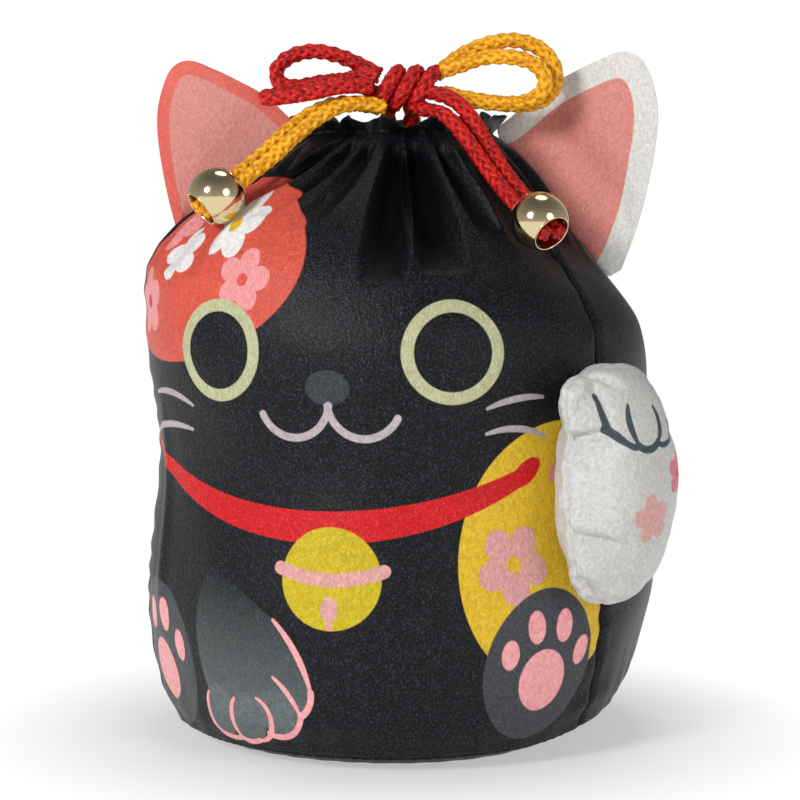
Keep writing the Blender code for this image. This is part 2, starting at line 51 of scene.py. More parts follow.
# Sizes that the pouch is cut to, the same as in the fixed model
CLEARANCE = 0.0003
WALL = 0.0012
HEM = 0.0009
SEAM_EDGE_HEIGHT = 0.0051
NECK_RADIUS = 0.0205
NECK_HEIGHT = 0.1405
CHANNEL_SLOPE = math.radians(36.0)
SEAM_ANGLE = math.radians(66.0)
BOW_ANGLE = math.radians(16.0)
HEM_OPENING = math.radians(40.0)
CORD = 0.0038
CHANNEL_WIDTH = 2 * CORD + 3 * CLEARANCE
CHANNEL_DEPTH = CORD + 2 * CLEARANCE
FRILL_FLARE = 0.0057
FRILL_RISE = 0.0041
FRILL_WAVE = 0.0012
FRILL_DIP = 0.0020
FRILL_DIP_WIDTH = math.radians(40.0)
FOLDS = 15
BEAD_RADIUS = 0.0064
PAW_ANGLE = math.radians(63.5)
PAW_CENTRE = Vector((0.0670 * math.sin(PAW_ANGLE), -0.0670 * math.cos(PAW_ANGLE), 0.06175))
PRINT_RADIUS = 59.0


def smooth_step(value, low, high):
    """0 below low, 1 above high and a smooth ramp between them; numbers or arrays."""
    share = np.clip((value - low) / (high - low), 0.0, 1.0)
    return share * share * (3.0 - 2.0 * share)


def hump(value, middle, width):
    """A soft bump, 1 at the middle."""
    return np.exp(-(((value - middle) / width) ** 2))


def wrapped(angle):
    """An angle between -pi and pi."""
    return (angle + math.pi) % (2 * math.pi) - math.pi


def through(points, step):
    """A smooth curve through the points, as points about step apart."""
    given = np.array(points, float)
    padded = np.vstack([2 * given[0] - given[1], given, 2 * given[-1] - given[-2]])
    line = []
    for i in range(1, len(padded) - 2):
        before, start, end, after = padded[i - 1 : i + 3]
        count = max(1, math.ceil(np.linalg.norm(end - start) / step))
        for t in np.arange(count) / count:
            line.append(
                0.5
                * (
                    2 * start
                    + (end - before) * t
                    + (2 * before - 5 * start + 4 * end - after) * t**2
                    + (3 * start - before - 3 * end + after) * t**3
                )
            )
    line.append(padded[-2])
    return np.array(line)


def at(angle, radius, height):
    return Vector((radius * math.sin(angle), -radius * math.cos(angle), height))


def around_axis(angles, radius, height):
    """Places round the axis, one for each angle."""
    return np.stack([radius * np.sin(angles), -radius * np.cos(angles), height], axis=1)


def seam_puckers(angle):
    """The small puckers round the base seam, in step on the side and on the base."""
    return np.sin(41 * angle + 1.4 * np.sin(3 * angle))


def bow_point(place):
    """A place in the bow's frame (right, forward, up) in the pouch's frame."""
    right, forward, up = place
    x = right * math.cos(BOW_ANGLE) + forward * math.sin(BOW_ANGLE)
    y = right * math.sin(BOW_ANGLE) - forward * math.cos(BOW_ANGLE)
    return Vector((x, y, up))


def route(points):
    """A cord's route in the bow's frame, in millimetres from the neck, in the pouch's frame."""
    return [bow_point(Vector(p) * MM + Vector((0, 0, NECK_HEIGHT))) for p in points]


# Camera

CAMERA_PLACE = (0.1516, -0.5287, 0.120)
CAMERA_AZIMUTH = math.radians(16.0)
CAMERA_PITCH = math.radians(4.39)

lens = bpy.data.cameras.new("camera")
lens.lens = 104.4
lens.sensor_width = 36.0
lens.clip_start = 0.02
camera = bpy.data.objects.new("camera", lens)
camera.location = CAMERA_PLACE
camera.rotation_euler = (math.pi / 2 - CAMERA_PITCH, 0.0, CAMERA_AZIMUTH)
bpy.context.scene.collection.objects.link(camera)
bpy.context.scene.camera = camera


# Shader helpers


class Shades:
    """Short ways to lay the nodes of one material or node group."""

    def __init__(self, tree):
        self.tree = tree

    def node(self, kind, **settings):
        made = self.tree.nodes.new(kind)
        for name, value in settings.items():
            setattr(made, name, value)
        return made

    def put(self, socket, value):
        """A number, colour or vector sets the socket, and an output is linked to it."""
        if isinstance(value, bpy.types.NodeSocket):
            self.tree.links.new(value, socket)
        elif socket.type == "VECTOR":
            socket.default_value = value[:3]
        else:
            socket.default_value = value

    def maths(self, operation, *values):
        made = self.node("ShaderNodeMath", operation=operation)
        for socket, value in zip(made.inputs, values):
            self.put(socket, value)
        return made.outputs[0]

    def plus(self, first, second):
        return self.maths("ADD", first, second)

    def minus(self, first, second):
        return self.maths("SUBTRACT", first, second)

    def times(self, first, second):
        return self.maths("MULTIPLY", first, second)

    def over(self, first, second):
        return self.maths("DIVIDE", first, second)

    def squared(self, value):
        return self.maths("POWER", value, 2.0)

    def inside(self, past, softness):
        """1 inside an edge and 0 past it, with a soft step between."""
        mark = self.minus(0.5, self.over(past, softness))
        mark.node.use_clamp = True
        return mark

    def parts(self, value):
        split = self.node("ShaderNodeSeparateXYZ")
        self.put(split.inputs[0], value)
        return split.outputs

    def joined(self, *values):
        made = self.node("ShaderNodeCombineXYZ")
        for socket, value in zip(made.inputs, values):
            self.put(socket, value)
        return made.outputs[0]

    def vector(self, operation, *values):
        made = self.node("ShaderNodeVectorMath", operation=operation)
        for socket, value in zip(made.inputs, values):
            self.put(socket, value)
        number = operation in ("LENGTH", "DOT_PRODUCT", "DISTANCE")
        return made.outputs["Value" if number else "Vector"]

    def scaled(self, value, factor):
        made = self.node("ShaderNodeVectorMath", operation="SCALE")
        self.put(made.inputs[0], value)
        self.put(made.inputs["Scale"], factor)
        return made.outputs[0]

    def ramp(self, value, low, high, start=0.0, end=1.0):
        made = self.node("ShaderNodeMapRange", clamp=True)
        for name, number in (
            ("Value", value),
            ("From Min", low),
            ("From Max", high),
            ("To Min", start),
            ("To Max", end),
        ):
            self.put(made.inputs[name], number)
        return made.outputs["Result"]

    def mix(self, share, under, over):
        made = self.node("ShaderNodeMix", data_type="RGBA")
        self.put(made.inputs["Factor"], share)
        self.put(made.inputs[6], under)
        self.put(made.inputs[7], over)
        return made.outputs[2]

    def group(self, tree, **values):
        made = self.node("ShaderNodeGroup")
        made.node_tree = tree
        for name, value in values.items():
            self.put(made.inputs[name.replace("_", " ").capitalize()], value)
        return made.outputs

    def noise(self, place, scale, detail=2.0, roughness=0.5):
        made = self.node("ShaderNodeTexNoise")
        self.put(made.inputs["Vector"], place)
        self.put(made.inputs["Scale"], scale)
        self.put(made.inputs["Detail"], detail)
        self.put(made.inputs["Roughness"], roughness)
        return made.outputs["Fac"]


def colour(red, green, blue):
    """A screen colour, 0 to 255 a channel, as the shader takes it."""
    linear = []
    for channel in (red, green, blue):
        share = channel / 255
        linear.append(share / 12.92 if share <= 0.04045 else ((share + 0.055) / 1.055) ** 2.4)
    return (*linear, 1.0)


FLOAT, VECTOR = "NodeSocketFloat", "NodeSocketVector"
MARK_INPUTS = [
    ("Place", VECTOR, (0, 0, 0)),
    ("Centre", VECTOR, (0, 0, 0)),
    ("Turn", FLOAT, 0.0),
    ("Softness", FLOAT, 0.25),
]


def shade_group(name, inputs, outputs):
    """A node group with its sockets; inputs are (name, kind, value), outputs are names."""
    tree = bpy.data.node_groups.new(name, "ShaderNodeTree")
    for label, kind, value in inputs:
        socket = tree.interface.new_socket(label, in_out="INPUT", socket_type=kind)
        socket.default_value = value
    for label in outputs:
        tree.interface.new_socket(label, in_out="OUTPUT", socket_type="NodeSocketFloat")
    shades = Shades(tree)
    return tree, shades, shades.node("NodeGroupInput").outputs, shades.node("NodeGroupOutput").inputs


def turned_place(shades, given):
    """The place seen from the mark's centre, turned back by the mark's turn."""
    away = shades.vector("SUBTRACT", given["Place"], given["Centre"])
    turn = shades.node("ShaderNodeVectorRotate", rotation_type="Z_AXIS", invert=True)
    shades.put(turn.inputs["Vector"], away)
    shades.put(turn.inputs["Angle"], given["Turn"])
    return turn.outputs["Vector"]


def oval_group():
    """An oval field of colour."""
    inputs = [*MARK_INPUTS, ("Radii", VECTOR, (1, 1, 1))]
    tree, shades, given, out = shade_group("oval", inputs, ["Mark"])
    local = shades.vector("DIVIDE", turned_place(shades, given), given["Radii"])
    radii = shades.parts(given["Radii"])
    size = shades.maths("MINIMUM", radii[0], radii[1])
    past = shades.times(shades.minus(shades.vector("LENGTH", local), 1.0), size)
    shades.put(out["Mark"], shades.inside(past, given["Softness"]))
    return tree


def stroke_group():
    """A stroke along an arc, with round ends, that may narrow towards them."""
    own = [
        ("Radius", FLOAT, 1.0),
        ("Spread", FLOAT, 1.0),
        ("Half width", FLOAT, 0.5),
        ("Narrowing", FLOAT, 0.0),
    ]
    tree, shades, given, out = shade_group("stroke", [*MARK_INPUTS, *own], ["Mark"])
    local = turned_place(shades, given)
    sides = shades.parts(local)
    angle = shades.maths("ARCTAN2", sides[1], sides[0])
    back = shades.times(given["Spread"], -1.0)
    held = shades.maths("MINIMUM", shades.maths("MAXIMUM", angle, back), given["Spread"])
    right = shades.times(shades.maths("COSINE", held), given["Radius"])
    up = shades.times(shades.maths("SINE", held), given["Radius"])
    gap = shades.vector("DISTANCE", local, shades.joined(right, up))
    share = shades.squared(shades.over(held, given["Spread"]))
    thin = shades.minus(1.0, shades.times(share, given["Narrowing"]))
    past = shades.minus(gap, shades.times(given["Half width"], thin))
    shades.put(out["Mark"], shades.inside(past, given["Softness"]))
    return tree


# How far out a petal's middle lies, and the disc that joins the petals, as shares of the size
PETAL_CENTRE = 0.58
BLOSSOM_MIDDLE = 0.42


def blossom_group():
    """A five-petalled blossom and its round heart."""
    own = [
        ("Size", FLOAT, 5.0),
        ("Petal length", FLOAT, 0.42),
        ("Petal width", FLOAT, 0.38),
        ("Heart", FLOAT, 0.2),
    ]
    tree, shades, given, out = shade_group("blossom", [*MARK_INPUTS, *own], ["Petals", "Heart"])
    local = turned_place(shades, given)
    sides = shades.parts(local)
    reach = shades.vector("LENGTH", local)
    angle = shades.maths("ARCTAN2", sides[1], sides[0])
    fifth = 2 * math.pi / 5
    count = shades.maths("ROUND", shades.over(angle, fifth))
    rest = shades.minus(angle, shades.times(count, fifth))
    share = shades.over(reach, given["Size"])
    out_along = shades.minus(shades.times(shades.maths("COSINE", rest), share), PETAL_CENTRE)
    out_across = shades.times(shades.maths("SINE", rest), share)
    along = shades.squared(shades.over(out_along, given["Petal length"]))
    across = shades.squared(shades.over(out_across, given["Petal width"]))
    oval = shades.minus(shades.maths("SQRT", shades.plus(along, across)), 1.0)
    disc = shades.minus(shades.over(share, BLOSSOM_MIDDLE), 1.0)
    near = shades.times(shades.maths("MINIMUM", oval, disc), shades.times(given["Size"], 0.4))
    shades.put(out["Petals"], shades.inside(near, given["Softness"]))
    past = shades.minus(reach, shades.times(given["Size"], given["Heart"]))
    shades.put(out["Heart"], shades.inside(past, given["Softness"]))
    return tree


OVAL = oval_group()
STROKE = stroke_group()
BLOSSOM = blossom_group()


class Print:
    """Marks printed one over another, at places in millimetres."""

    def __init__(self, shades, place, ground):
        self.shades = shades
        self.place = place
        self.under = ground

    def lay(self, mark, ink):
        self.under = self.shades.mix(mark, self.under, ink)

    def oval(self, centre, radii, ink, turn=0.0, within=None):
        mark = self.shades.group(
            OVAL, place=self.place, centre=(*centre, 0), radii=(*radii, 1), turn=math.radians(turn)
        )[0]
        if within is not None:
            mark = self.shades.times(mark, within)
        self.lay(mark, ink)
        return mark

    def stroke(self, centre, radius, turn, spread, half_width, ink, narrowing=0.0):
        mark = self.shades.group(
            STROKE,
            place=self.place,
            centre=(*centre, 0),
            turn=math.radians(turn),
            radius=radius,
            spread=math.radians(spread),
            half_width=half_width,
            narrowing=narrowing,
        )[0]
        self.lay(mark, ink)

    def arc(self, start, middle, end, half_width, ink, narrowing=0.0):
        """A stroke on the circle through three places."""
        a, b, c = (np.array(p, float) for p in (start, middle, end))
        twice = 2 * ((b - a)[0] * (c - a)[1] - (b - a)[1] * (c - a)[0])
        ab, ac = (b - a) @ (b - a), (c - a) @ (c - a)
        offset = np.array([(c - a)[1] * ab - (b - a)[1] * ac, (b - a)[0] * ac - (c - a)[0] * ab]) / twice
        centre = a + offset
        towards = [math.atan2(*(p - centre)[::-1]) for p in (a, b, c)]
        first = float(wrapped(towards[0] - towards[1]))
        last = float(wrapped(towards[2] - towards[1]))
        turn = towards[1] + (first + last) / 2
        spread = abs(last - first) / 2
        radius = float(np.hypot(*offset))
        turn, spread = math.degrees(turn), math.degrees(spread)
        self.stroke(tuple(centre), radius, turn, spread, half_width, ink, narrowing)

    def blossom(self, centre, size, turn, ink, heart_ink, within=None):
        petals, heart = self.shades.group(
            BLOSSOM, place=self.place, centre=(*centre, 0), turn=math.radians(turn), size=size
        )[:2]
        if within is not None:
            petals = self.shades.times(petals, within)
            heart = self.shades.times(heart, within)
        self.lay(petals, ink)
        self.lay(heart, heart_ink)


def new_material(name):
    made = bpy.data.materials.new(name)
    made.use_nodes = True
    return made, Shades(made.node_tree), made.node_tree.nodes["Principled BSDF"].inputs


def bump(shades, height, depth):
    made = shades.node("ShaderNodeBump")
    made.inputs["Strength"].default_value = 1.0
    made.inputs["Distance"].default_value = depth
    shades.put(made.inputs["Height"], height)
    return made.outputs["Normal"]


FINE_GRAIN = 2700.0
BROAD_GRAIN = 1000.0
CLOUDS = 60.0


def crepe_group():
    """The fine crinkled grain of crepe satin: its relief, and its glints, which are painted highlights."""
    tree, shades, given, out = shade_group(
        "crepe", [("Place", VECTOR, (0, 0, 0)), ("Grain", FLOAT, 1.0)], ["Relief", "Glint", "Shade"]
    )
    stretched = shades.vector("MULTIPLY", given["Place"], (1.0, 1.0, 0.72))
    fine = shades.noise(stretched, shades.times(given["Grain"], FINE_GRAIN), 2.0, 0.6)
    broad = shades.noise(stretched, shades.times(given["Grain"], BROAD_GRAIN), 1.0)
    spread = shades.noise(given["Place"], CLOUDS, 1.0)
    shades.put(out["Relief"], shades.plus(fine, shades.times(broad, 0.8)))
    # Glint: the brightest specks of the grain, where highlights are painted into the colour
    shades.put(out["Glint"], shades.ramp(fine, 0.50, 0.80))
    cloudy = shades.plus(broad, shades.times(spread, 0.4))
    shades.put(out["Shade"], shades.ramp(cloudy, 0.5, 0.9))
    return tree


CREPE = crepe_group()


def object_place(shades):
    return shades.node("ShaderNodeTexCoord").outputs["Object"]


def side_place(shades):
    """Millimetres round the side from the face's middle, and up from the base."""
    x, y, z = shades.parts(object_place(shades))
    angle = shades.maths("ARCTAN2", x, shades.times(y, -1.0))
    return shades.times(angle, PRINT_RADIUS), shades.over(z, MM)


BLACK = colour(10, 11, 13)
# The colour of the painted glints on the black satin
BLACK_GLINT = colour(66, 72, 82)
CORAL = colour(212, 84, 66)
BLOSSOM_WHITE = colour(232, 230, 230)
BLOSSOM_PINK = colour(236, 150, 150)
EYE_RING = colour(186, 187, 146)
NOSE = colour(52, 58, 62)
LILAC = colour(180, 168, 172)
COLLAR_RED = colour(206, 18, 22)
BELL_YELLOW = colour(202, 178, 24)
PATCH_YELLOW = colour(224, 184, 40)
BAND_PINK = colour(220, 160, 155)
FOOT_GREY = colour(66, 68, 71)
LEG_GREY = colour(100, 108, 108)
PAD_PINK = colour(244, 166, 168)
HEART_YELLOW = colour(220, 180, 30)


CLOUD_SHARE = 0.22
# How much the print is brightened where a painted glint lies
GLINT_GAIN = 1.35
# Painted shade: a hollow between gathers this deep keeps only this share of the gloss and of the painted
# glints
DEEP_HOLLOW = 0.0055
SHADED_HOLLOW_SHARE = 0.06


def satin(name, glint_ink, glint_share, roughness, relief, gloss, paint, grain=1.0, gathered=False):
    """Crepe satin: paint(shades) gives the print, and the grain and painted glints go over it. Where the
    cloth is gathered, its hollows get painted shade: less gloss and fewer glints."""
    made, shades, skin = new_material(name)
    print_ink = paint(shades)
    relief_out, glint, shade = shades.group(CREPE, place=object_place(shades), grain=grain)[:3]
    # Darker in random cloudy patches over the print
    clouded = shades.mix(shades.times(shade, CLOUD_SHARE), print_ink, (0.0, 0.0, 0.0, 1.0))
    bright = shades.node("ShaderNodeVectorMath", operation="MULTIPLY_ADD")
    shades.put(bright.inputs[0], print_ink)
    bright.inputs[1].default_value = [GLINT_GAIN] * 3
    bright.inputs[2].default_value = glint_ink[:3]
    shine = gloss
    # Painted shade in the hollows: less gloss and fewer painted glints where the cloth sinks between gathers
    if gathered:
        deep = shades.node("ShaderNodeAttribute", attribute_name="hollow").outputs["Fac"]
        open_part = shades.ramp(deep, 0.0, DEEP_HOLLOW, 1.0, SHADED_HOLLOW_SHARE)
        shine = shades.times(open_part, gloss)
        glint = shades.times(open_part, glint)
    # Painted highlights: the brightened print shows in the glint specks
    lit = shades.mix(shades.times(glint, glint_share), clouded, bright.outputs["Vector"])
    shades.put(skin["Base Color"], lit)
    shades.put(skin["Normal"], bump(shades, relief_out, relief))
    skin["Roughness"].default_value = roughness
    shades.put(skin["Specular IOR Level"], shine)
    return made


def print_patches(made):
    """The coral and the yellow patch with their blossoms."""
    coral = made.oval((-41.0, 109.5), (34.5, 20.5), CORAL, turn=6)
    for centre, size, turn, ink, heart in (
        ((-29.0, 119.5), 8.0, 12, BLOSSOM_WHITE, HEART_YELLOW),
        ((-44.5, 113.0), 6.0, 40, BLOSSOM_WHITE, BLOSSOM_WHITE),
        ((-21.0, 107.5), 7.0, 5, BLOSSOM_PINK, CORAL),
        ((-56.5, 102.0), 8.0, 25, BLOSSOM_PINK, COLLAR_RED),
        ((-53.0, 118.5), 5.0, 0, BLOSSOM_PINK, BLOSSOM_PINK),
    ):
        made.blossom(centre, size, turn, ink, heart, within=coral)
    yellow = made.oval((53.5, 48.0), (24.0, 29.0), PATCH_YELLOW, turn=-12)
    made.blossom((42.5, 46.0), 9.0, -14, BAND_PINK, HEART_YELLOW, within=yellow)
    made.blossom((60.0, 64.0), 7.0, 20, BLOSSOM_PINK, COLLAR_RED, within=yellow)


def print_collar(made, around, up):
    """The bowed collar with its round end, and the bell below it."""
    shades = made.shades

    def bowed(middle, bend, level):
        return shades.plus(shades.times(shades.squared(shades.minus(around, middle)), bend), level)

    below_top = shades.ramp(shades.minus(bowed(-2.5, 0.0039, 58.0), up), -0.12, 0.12)
    above_low = shades.ramp(shades.minus(up, bowed(-2.0, 0.0052, 51.0)), -0.12, 0.12)
    reach = shades.ramp(around, 47.6, 47.9, 1.0, 0.0)
    made.lay(shades.times(shades.times(below_top, above_low), reach), COLLAR_RED)
    made.oval((46.6, 65.8), (4.3, 2.4), COLLAR_RED, turn=38)

    made.oval((1.3, 43.6), (11.3, 11.1), BELL_YELLOW)
    made.stroke((1.3, 78.0), 34.6, -90, 20.0, 1.45, BAND_PINK)
    made.oval((1.2, 37.1), (2.0, 2.7), BAND_PINK)
    made.arc((1.2, 36.0), (1.3, 34.6), (1.2, 33.2), 0.65, BAND_PINK)


def print_leg(made, around, up):
    """The grey leg, which fades upwards, with its toes and claws."""
    shades = made.shades
    fade = shades.ramp(up, 12.0, 44.0, 0.85, 0.0)
    above_claws = shades.times(fade, shades.ramp(up, 9.0, 11.0))
    bend = shades.times(shades.squared(shades.minus(up, 20.0)), 0.045)
    past_edge = shades.plus(shades.plus(around, bend), 3.3)
    above_claws = shades.times(above_claws, shades.ramp(past_edge, -0.2, 0.2, 1.0, 0.0))
    made.oval((-19.9, 23.5), (15.6, 24.0), LEG_GREY, turn=13, within=above_claws)
    made.oval((-30.6, 11.4), (5.0, 6.2), LEG_GREY, within=fade)
    made.oval((-21.6, 10.8), (5.2, 5.9), LEG_GREY, within=fade)
    made.oval((-13.0, 13.0), (5.2, 5.3), LEG_GREY, within=fade)
    for start, middle, end, half_width, narrowing in (
        ((-12.0, 34.0), (-6.2, 26.5), (-3.4, 18.5), 0.75, 0.5),
        ((-3.4, 18.5), (-4.0, 15.4), (-6.3, 12.8), 0.75, 0.0),
        ((-6.2, 13.2), (-8.6, 8.9), (-16.0, 7.8), 0.7, 0.0),
        ((-12.6, 21.2), (-9.3, 17.9), (-6.4, 13.0), 0.65, 0.5),
        ((-18.1, 15.8), (-14.6, 11.6), (-19.6, 5.6), 0.7, 0.5),
        ((-25.1, 14.9), (-26.9, 9.6), (-25.4, 5.6), 0.7, 0.4),
        ((-34.0, 15.2), (-35.4, 9.8), (-32.8, 6.2), 0.65, 0.4),
        ((-32.8, 6.2), (-29.0, 5.2), (-25.6, 5.6), 0.6, 0.0),
        ((-25.4, 5.6), (-22.6, 5.0), (-19.8, 5.6), 0.6, 0.0),
    ):
        made.arc(start, middle, end, half_width, PAD_PINK, narrowing)


def print_feet(made):
    """Both feet with their pads."""
    right_pads = [
        ((50.2, 20.0), (6.1, 7.0), -18),
        ((41.5, 26.3), (2.2, 3.3), -4),
        ((48.0, 32.0), (2.3, 3.7), 4),
        ((55.6, 31.8), (2.3, 3.7), -8),
        ((60.8, 25.8), (2.0, 3.4), -20),
    ]
    left_pads = [
        ((-54.2, 17.5), (6.0, 7.2), 14),
        ((-44.2, 24.4), (2.2, 3.6), 4),
        ((-50.6, 30.6), (2.2, 3.9), 2),
        ((-58.8, 30.0), (2.3, 3.8), -6),
    ]
    for centre, radii, turn, pads in (
        ((49.5, 23.5), (14.0, 17.3), -22, right_pads),
        ((-52.5, 22.0), (13.4, 17.0), 18, left_pads),
    ):
        foot = made.oval(centre, radii, FOOT_GREY, turn=turn)
        for place, size, lean in pads:
            made.oval(place, size, PAD_PINK, turn=lean, within=foot)


def print_features(made):
    """Eyes, nose, mouth and whiskers."""
    for centre in ((-26.6, 92.1), (28.0, 92.3)):
        made.oval(centre, (11.4, 11.2), EYE_RING)
        made.oval(centre, (8.6, 8.5), BLACK)
    made.oval((0.7, 84.7), (5.0, 3.8), NOSE)
    made.stroke((-7.3, 82.0), 8.3, -82, 74.0, 0.85, LILAC)
    made.stroke((8.7, 82.0), 8.2, -99, 72.0, 0.85, LILAC)
    for whisker in (
        ((35.9, 80.1), (43.0, 82.1), (49.8, 82.2)),
        ((36.0, 74.6), (43.5, 75.5), (51.3, 73.4)),
        ((-54.6, 81.4), (-45.5, 81.8), (-36.8, 79.4)),
        ((-60.8, 71.7), (-49.0, 74.4), (-38.1, 73.9)),
    ):
        made.arc(*whisker, 0.75, LILAC, narrowing=0.5)


def face_print(shades):
    """The cat's whole front, each part printed over the ones before it."""
    around, up = side_place(shades)
    made = Print(shades, shades.joined(around, up), BLACK)
    print_patches(made)
    print_collar(made, around, up)
    print_leg(made, around, up)
    print_feet(made)
    print_features(made)
    return made.under


def plain_black(shades):
    return BLACK


# Colour and share of the painted glints, then roughness, relief depth and gloss
BLACK_SATIN = (BLACK_GLINT, 0.8, 0.38, 0.00016, 0.18)
printed_cloth = satin("black_cloth_printed", *BLACK_SATIN, face_print, gathered=True)
black_cloth = satin("black_cloth", *BLACK_SATIN, plain_black, gathered=True)


def ear_cloth(name, rim_ink, inner_ink, rim_width):
    """An ear's satin: the inner ear is printed inside a rim of even width."""

    def paint(shades):
        edge = shades.node("ShaderNodeAttribute", attribute_name="from_edge").outputs["Fac"]
        inner = shades.ramp(edge, rim_width - 0.12, rim_width + 0.12)
        return shades.mix(inner, rim_ink, inner_ink)

    # colour(90, 80, 78) is the colour of the painted glints
    return satin(name, colour(90, 80, 78), 0.6, 0.5, 0.00010, 0.35, paint, grain=1.3)


coral_ear = ear_cloth("coral_cloth", colour(222, 96, 82), colour(214, 134, 124), 3.2)
white_ear = ear_cloth("white_cloth_ear", colour(220, 218, 213), colour(216, 134, 123), 5.2)


def paw_print(shades):
    """The toes and two blossoms on the front of the stuffed paw."""
    away = shades.vector("SUBTRACT", object_place(shades), tuple(PAW_CENTRE))
    out = at(PAW_ANGLE, 1.0, 0.0)
    across = Vector((-out.y, out.x, 0.0))
    side = shades.over(shades.vector("DOT_PRODUCT", away, tuple(across)), MM)
    height = shades.over(shades.parts(object_place(shades))[2], MM)
    white = colour(206, 205, 202)
    made = Print(shades, shades.joined(side, height), white)
    slate = colour(62, 74, 80)
    for start, middle, end, half_width, narrowing in (
        ((-14.6, 83.0), (-14.7, 76.8), (-10.2, 72.3), 0.95, 0.4),
        ((-10.6, 72.5), (-9.7, 72.2), (-8.8, 72.5), 0.75, 0.0),
        ((-9.6, 81.0), (-10.0, 76.5), (-8.7, 72.6), 0.8, 0.5),
        ((-8.9, 72.6), (-6.0, 71.5), (-2.6, 72.9), 0.85, 0.0),
        ((-1.8, 80.4), (-0.9, 76.6), (-2.6, 72.9), 0.75, 0.5),
        ((-2.6, 72.9), (-0.6, 72.2), (1.2, 72.6), 0.65, 0.0),
        ((3.2, 77.4), (4.0, 74.8), (1.2, 72.6), 0.6, 0.5),
    ):
        made.arc(start, middle, end, half_width, slate, narrowing)
    made.blossom((-4.7, 56.5), 5.4, 30, colour(220, 168, 160), colour(220, 168, 160))
    made.blossom((6.0, 65.5), 5.0, 10, colour(222, 120, 130), colour(200, 60, 70))
    outward = shades.vector("DOT_PRODUCT", away, tuple(out))
    front_side = shades.ramp(outward, -0.0006, 0.0)
    return shades.mix(front_side, white, made.under)


# colour(80, 80, 80) is the colour of the painted glints
paw_cloth = satin("white_cloth", colour(80, 80, 80), 0.5, 0.5, 0.00012, 0.35, paw_print, grain=1.3)


def cord_yarn(name, ink, shade_and_streak_ink):
    """Silky braided yarn, darker down between the strands with painted shade, and with darker fibre streaks.
    """
    made, shades, skin = new_material(name)
    place = object_place(shades)
    fibre = shades.noise(place, 2600.0, 2.0, 0.6)
    depth = shades.node("ShaderNodeAttribute", attribute_name="height").outputs["Fac"]
    hollow = shades.ramp(depth, 0.0, 0.55)
    # Painted shade: the yarn darkens where a strand dips under its neighbours
    tone = shades.mix(hollow, shade_and_streak_ink, ink)
    streak = shades.mix(shades.ramp(fibre, 0.35, 0.75, 0.0, 0.12), tone, shade_and_streak_ink)
    shades.put(skin["Base Color"], streak)
    shades.put(skin["Normal"], bump(shades, fibre, 0.00008))
    skin["Roughness"].default_value = 0.45
    skin["Specular IOR Level"].default_value = 0.3
    return made


# The second colour of each is the painted shade between the strands, also used for the fibre streaks
red_yarn = cord_yarn("red_cord", colour(206, 28, 22), colour(136, 10, 12))
yellow_yarn = cord_yarn("yellow_cord", colour(246, 182, 32), colour(206, 130, 14))


def gold():
    """Pale gold plating with the faintest handling marks."""
    made, shades, skin = new_material("gold_bead")
    place = object_place(shades)
    smear = shades.noise(place, 240.0, 3.0, 0.6)
    shades.put(skin["Roughness"], shades.ramp(smear, 0.4, 0.8, 0.07, 0.2))
    shades.put(skin["Normal"], bump(shades, shades.noise(place, 900.0, 1.0), 0.000012))
    skin["Base Color"].default_value = colour(226, 208, 164)
    skin["Metallic"].default_value = 1.0
    return made


gold_plate = gold()


# Cords

BRAID_STRANDS = 4
BRAID_PITCH = 0.0115
BRAID_CORE = 0.33


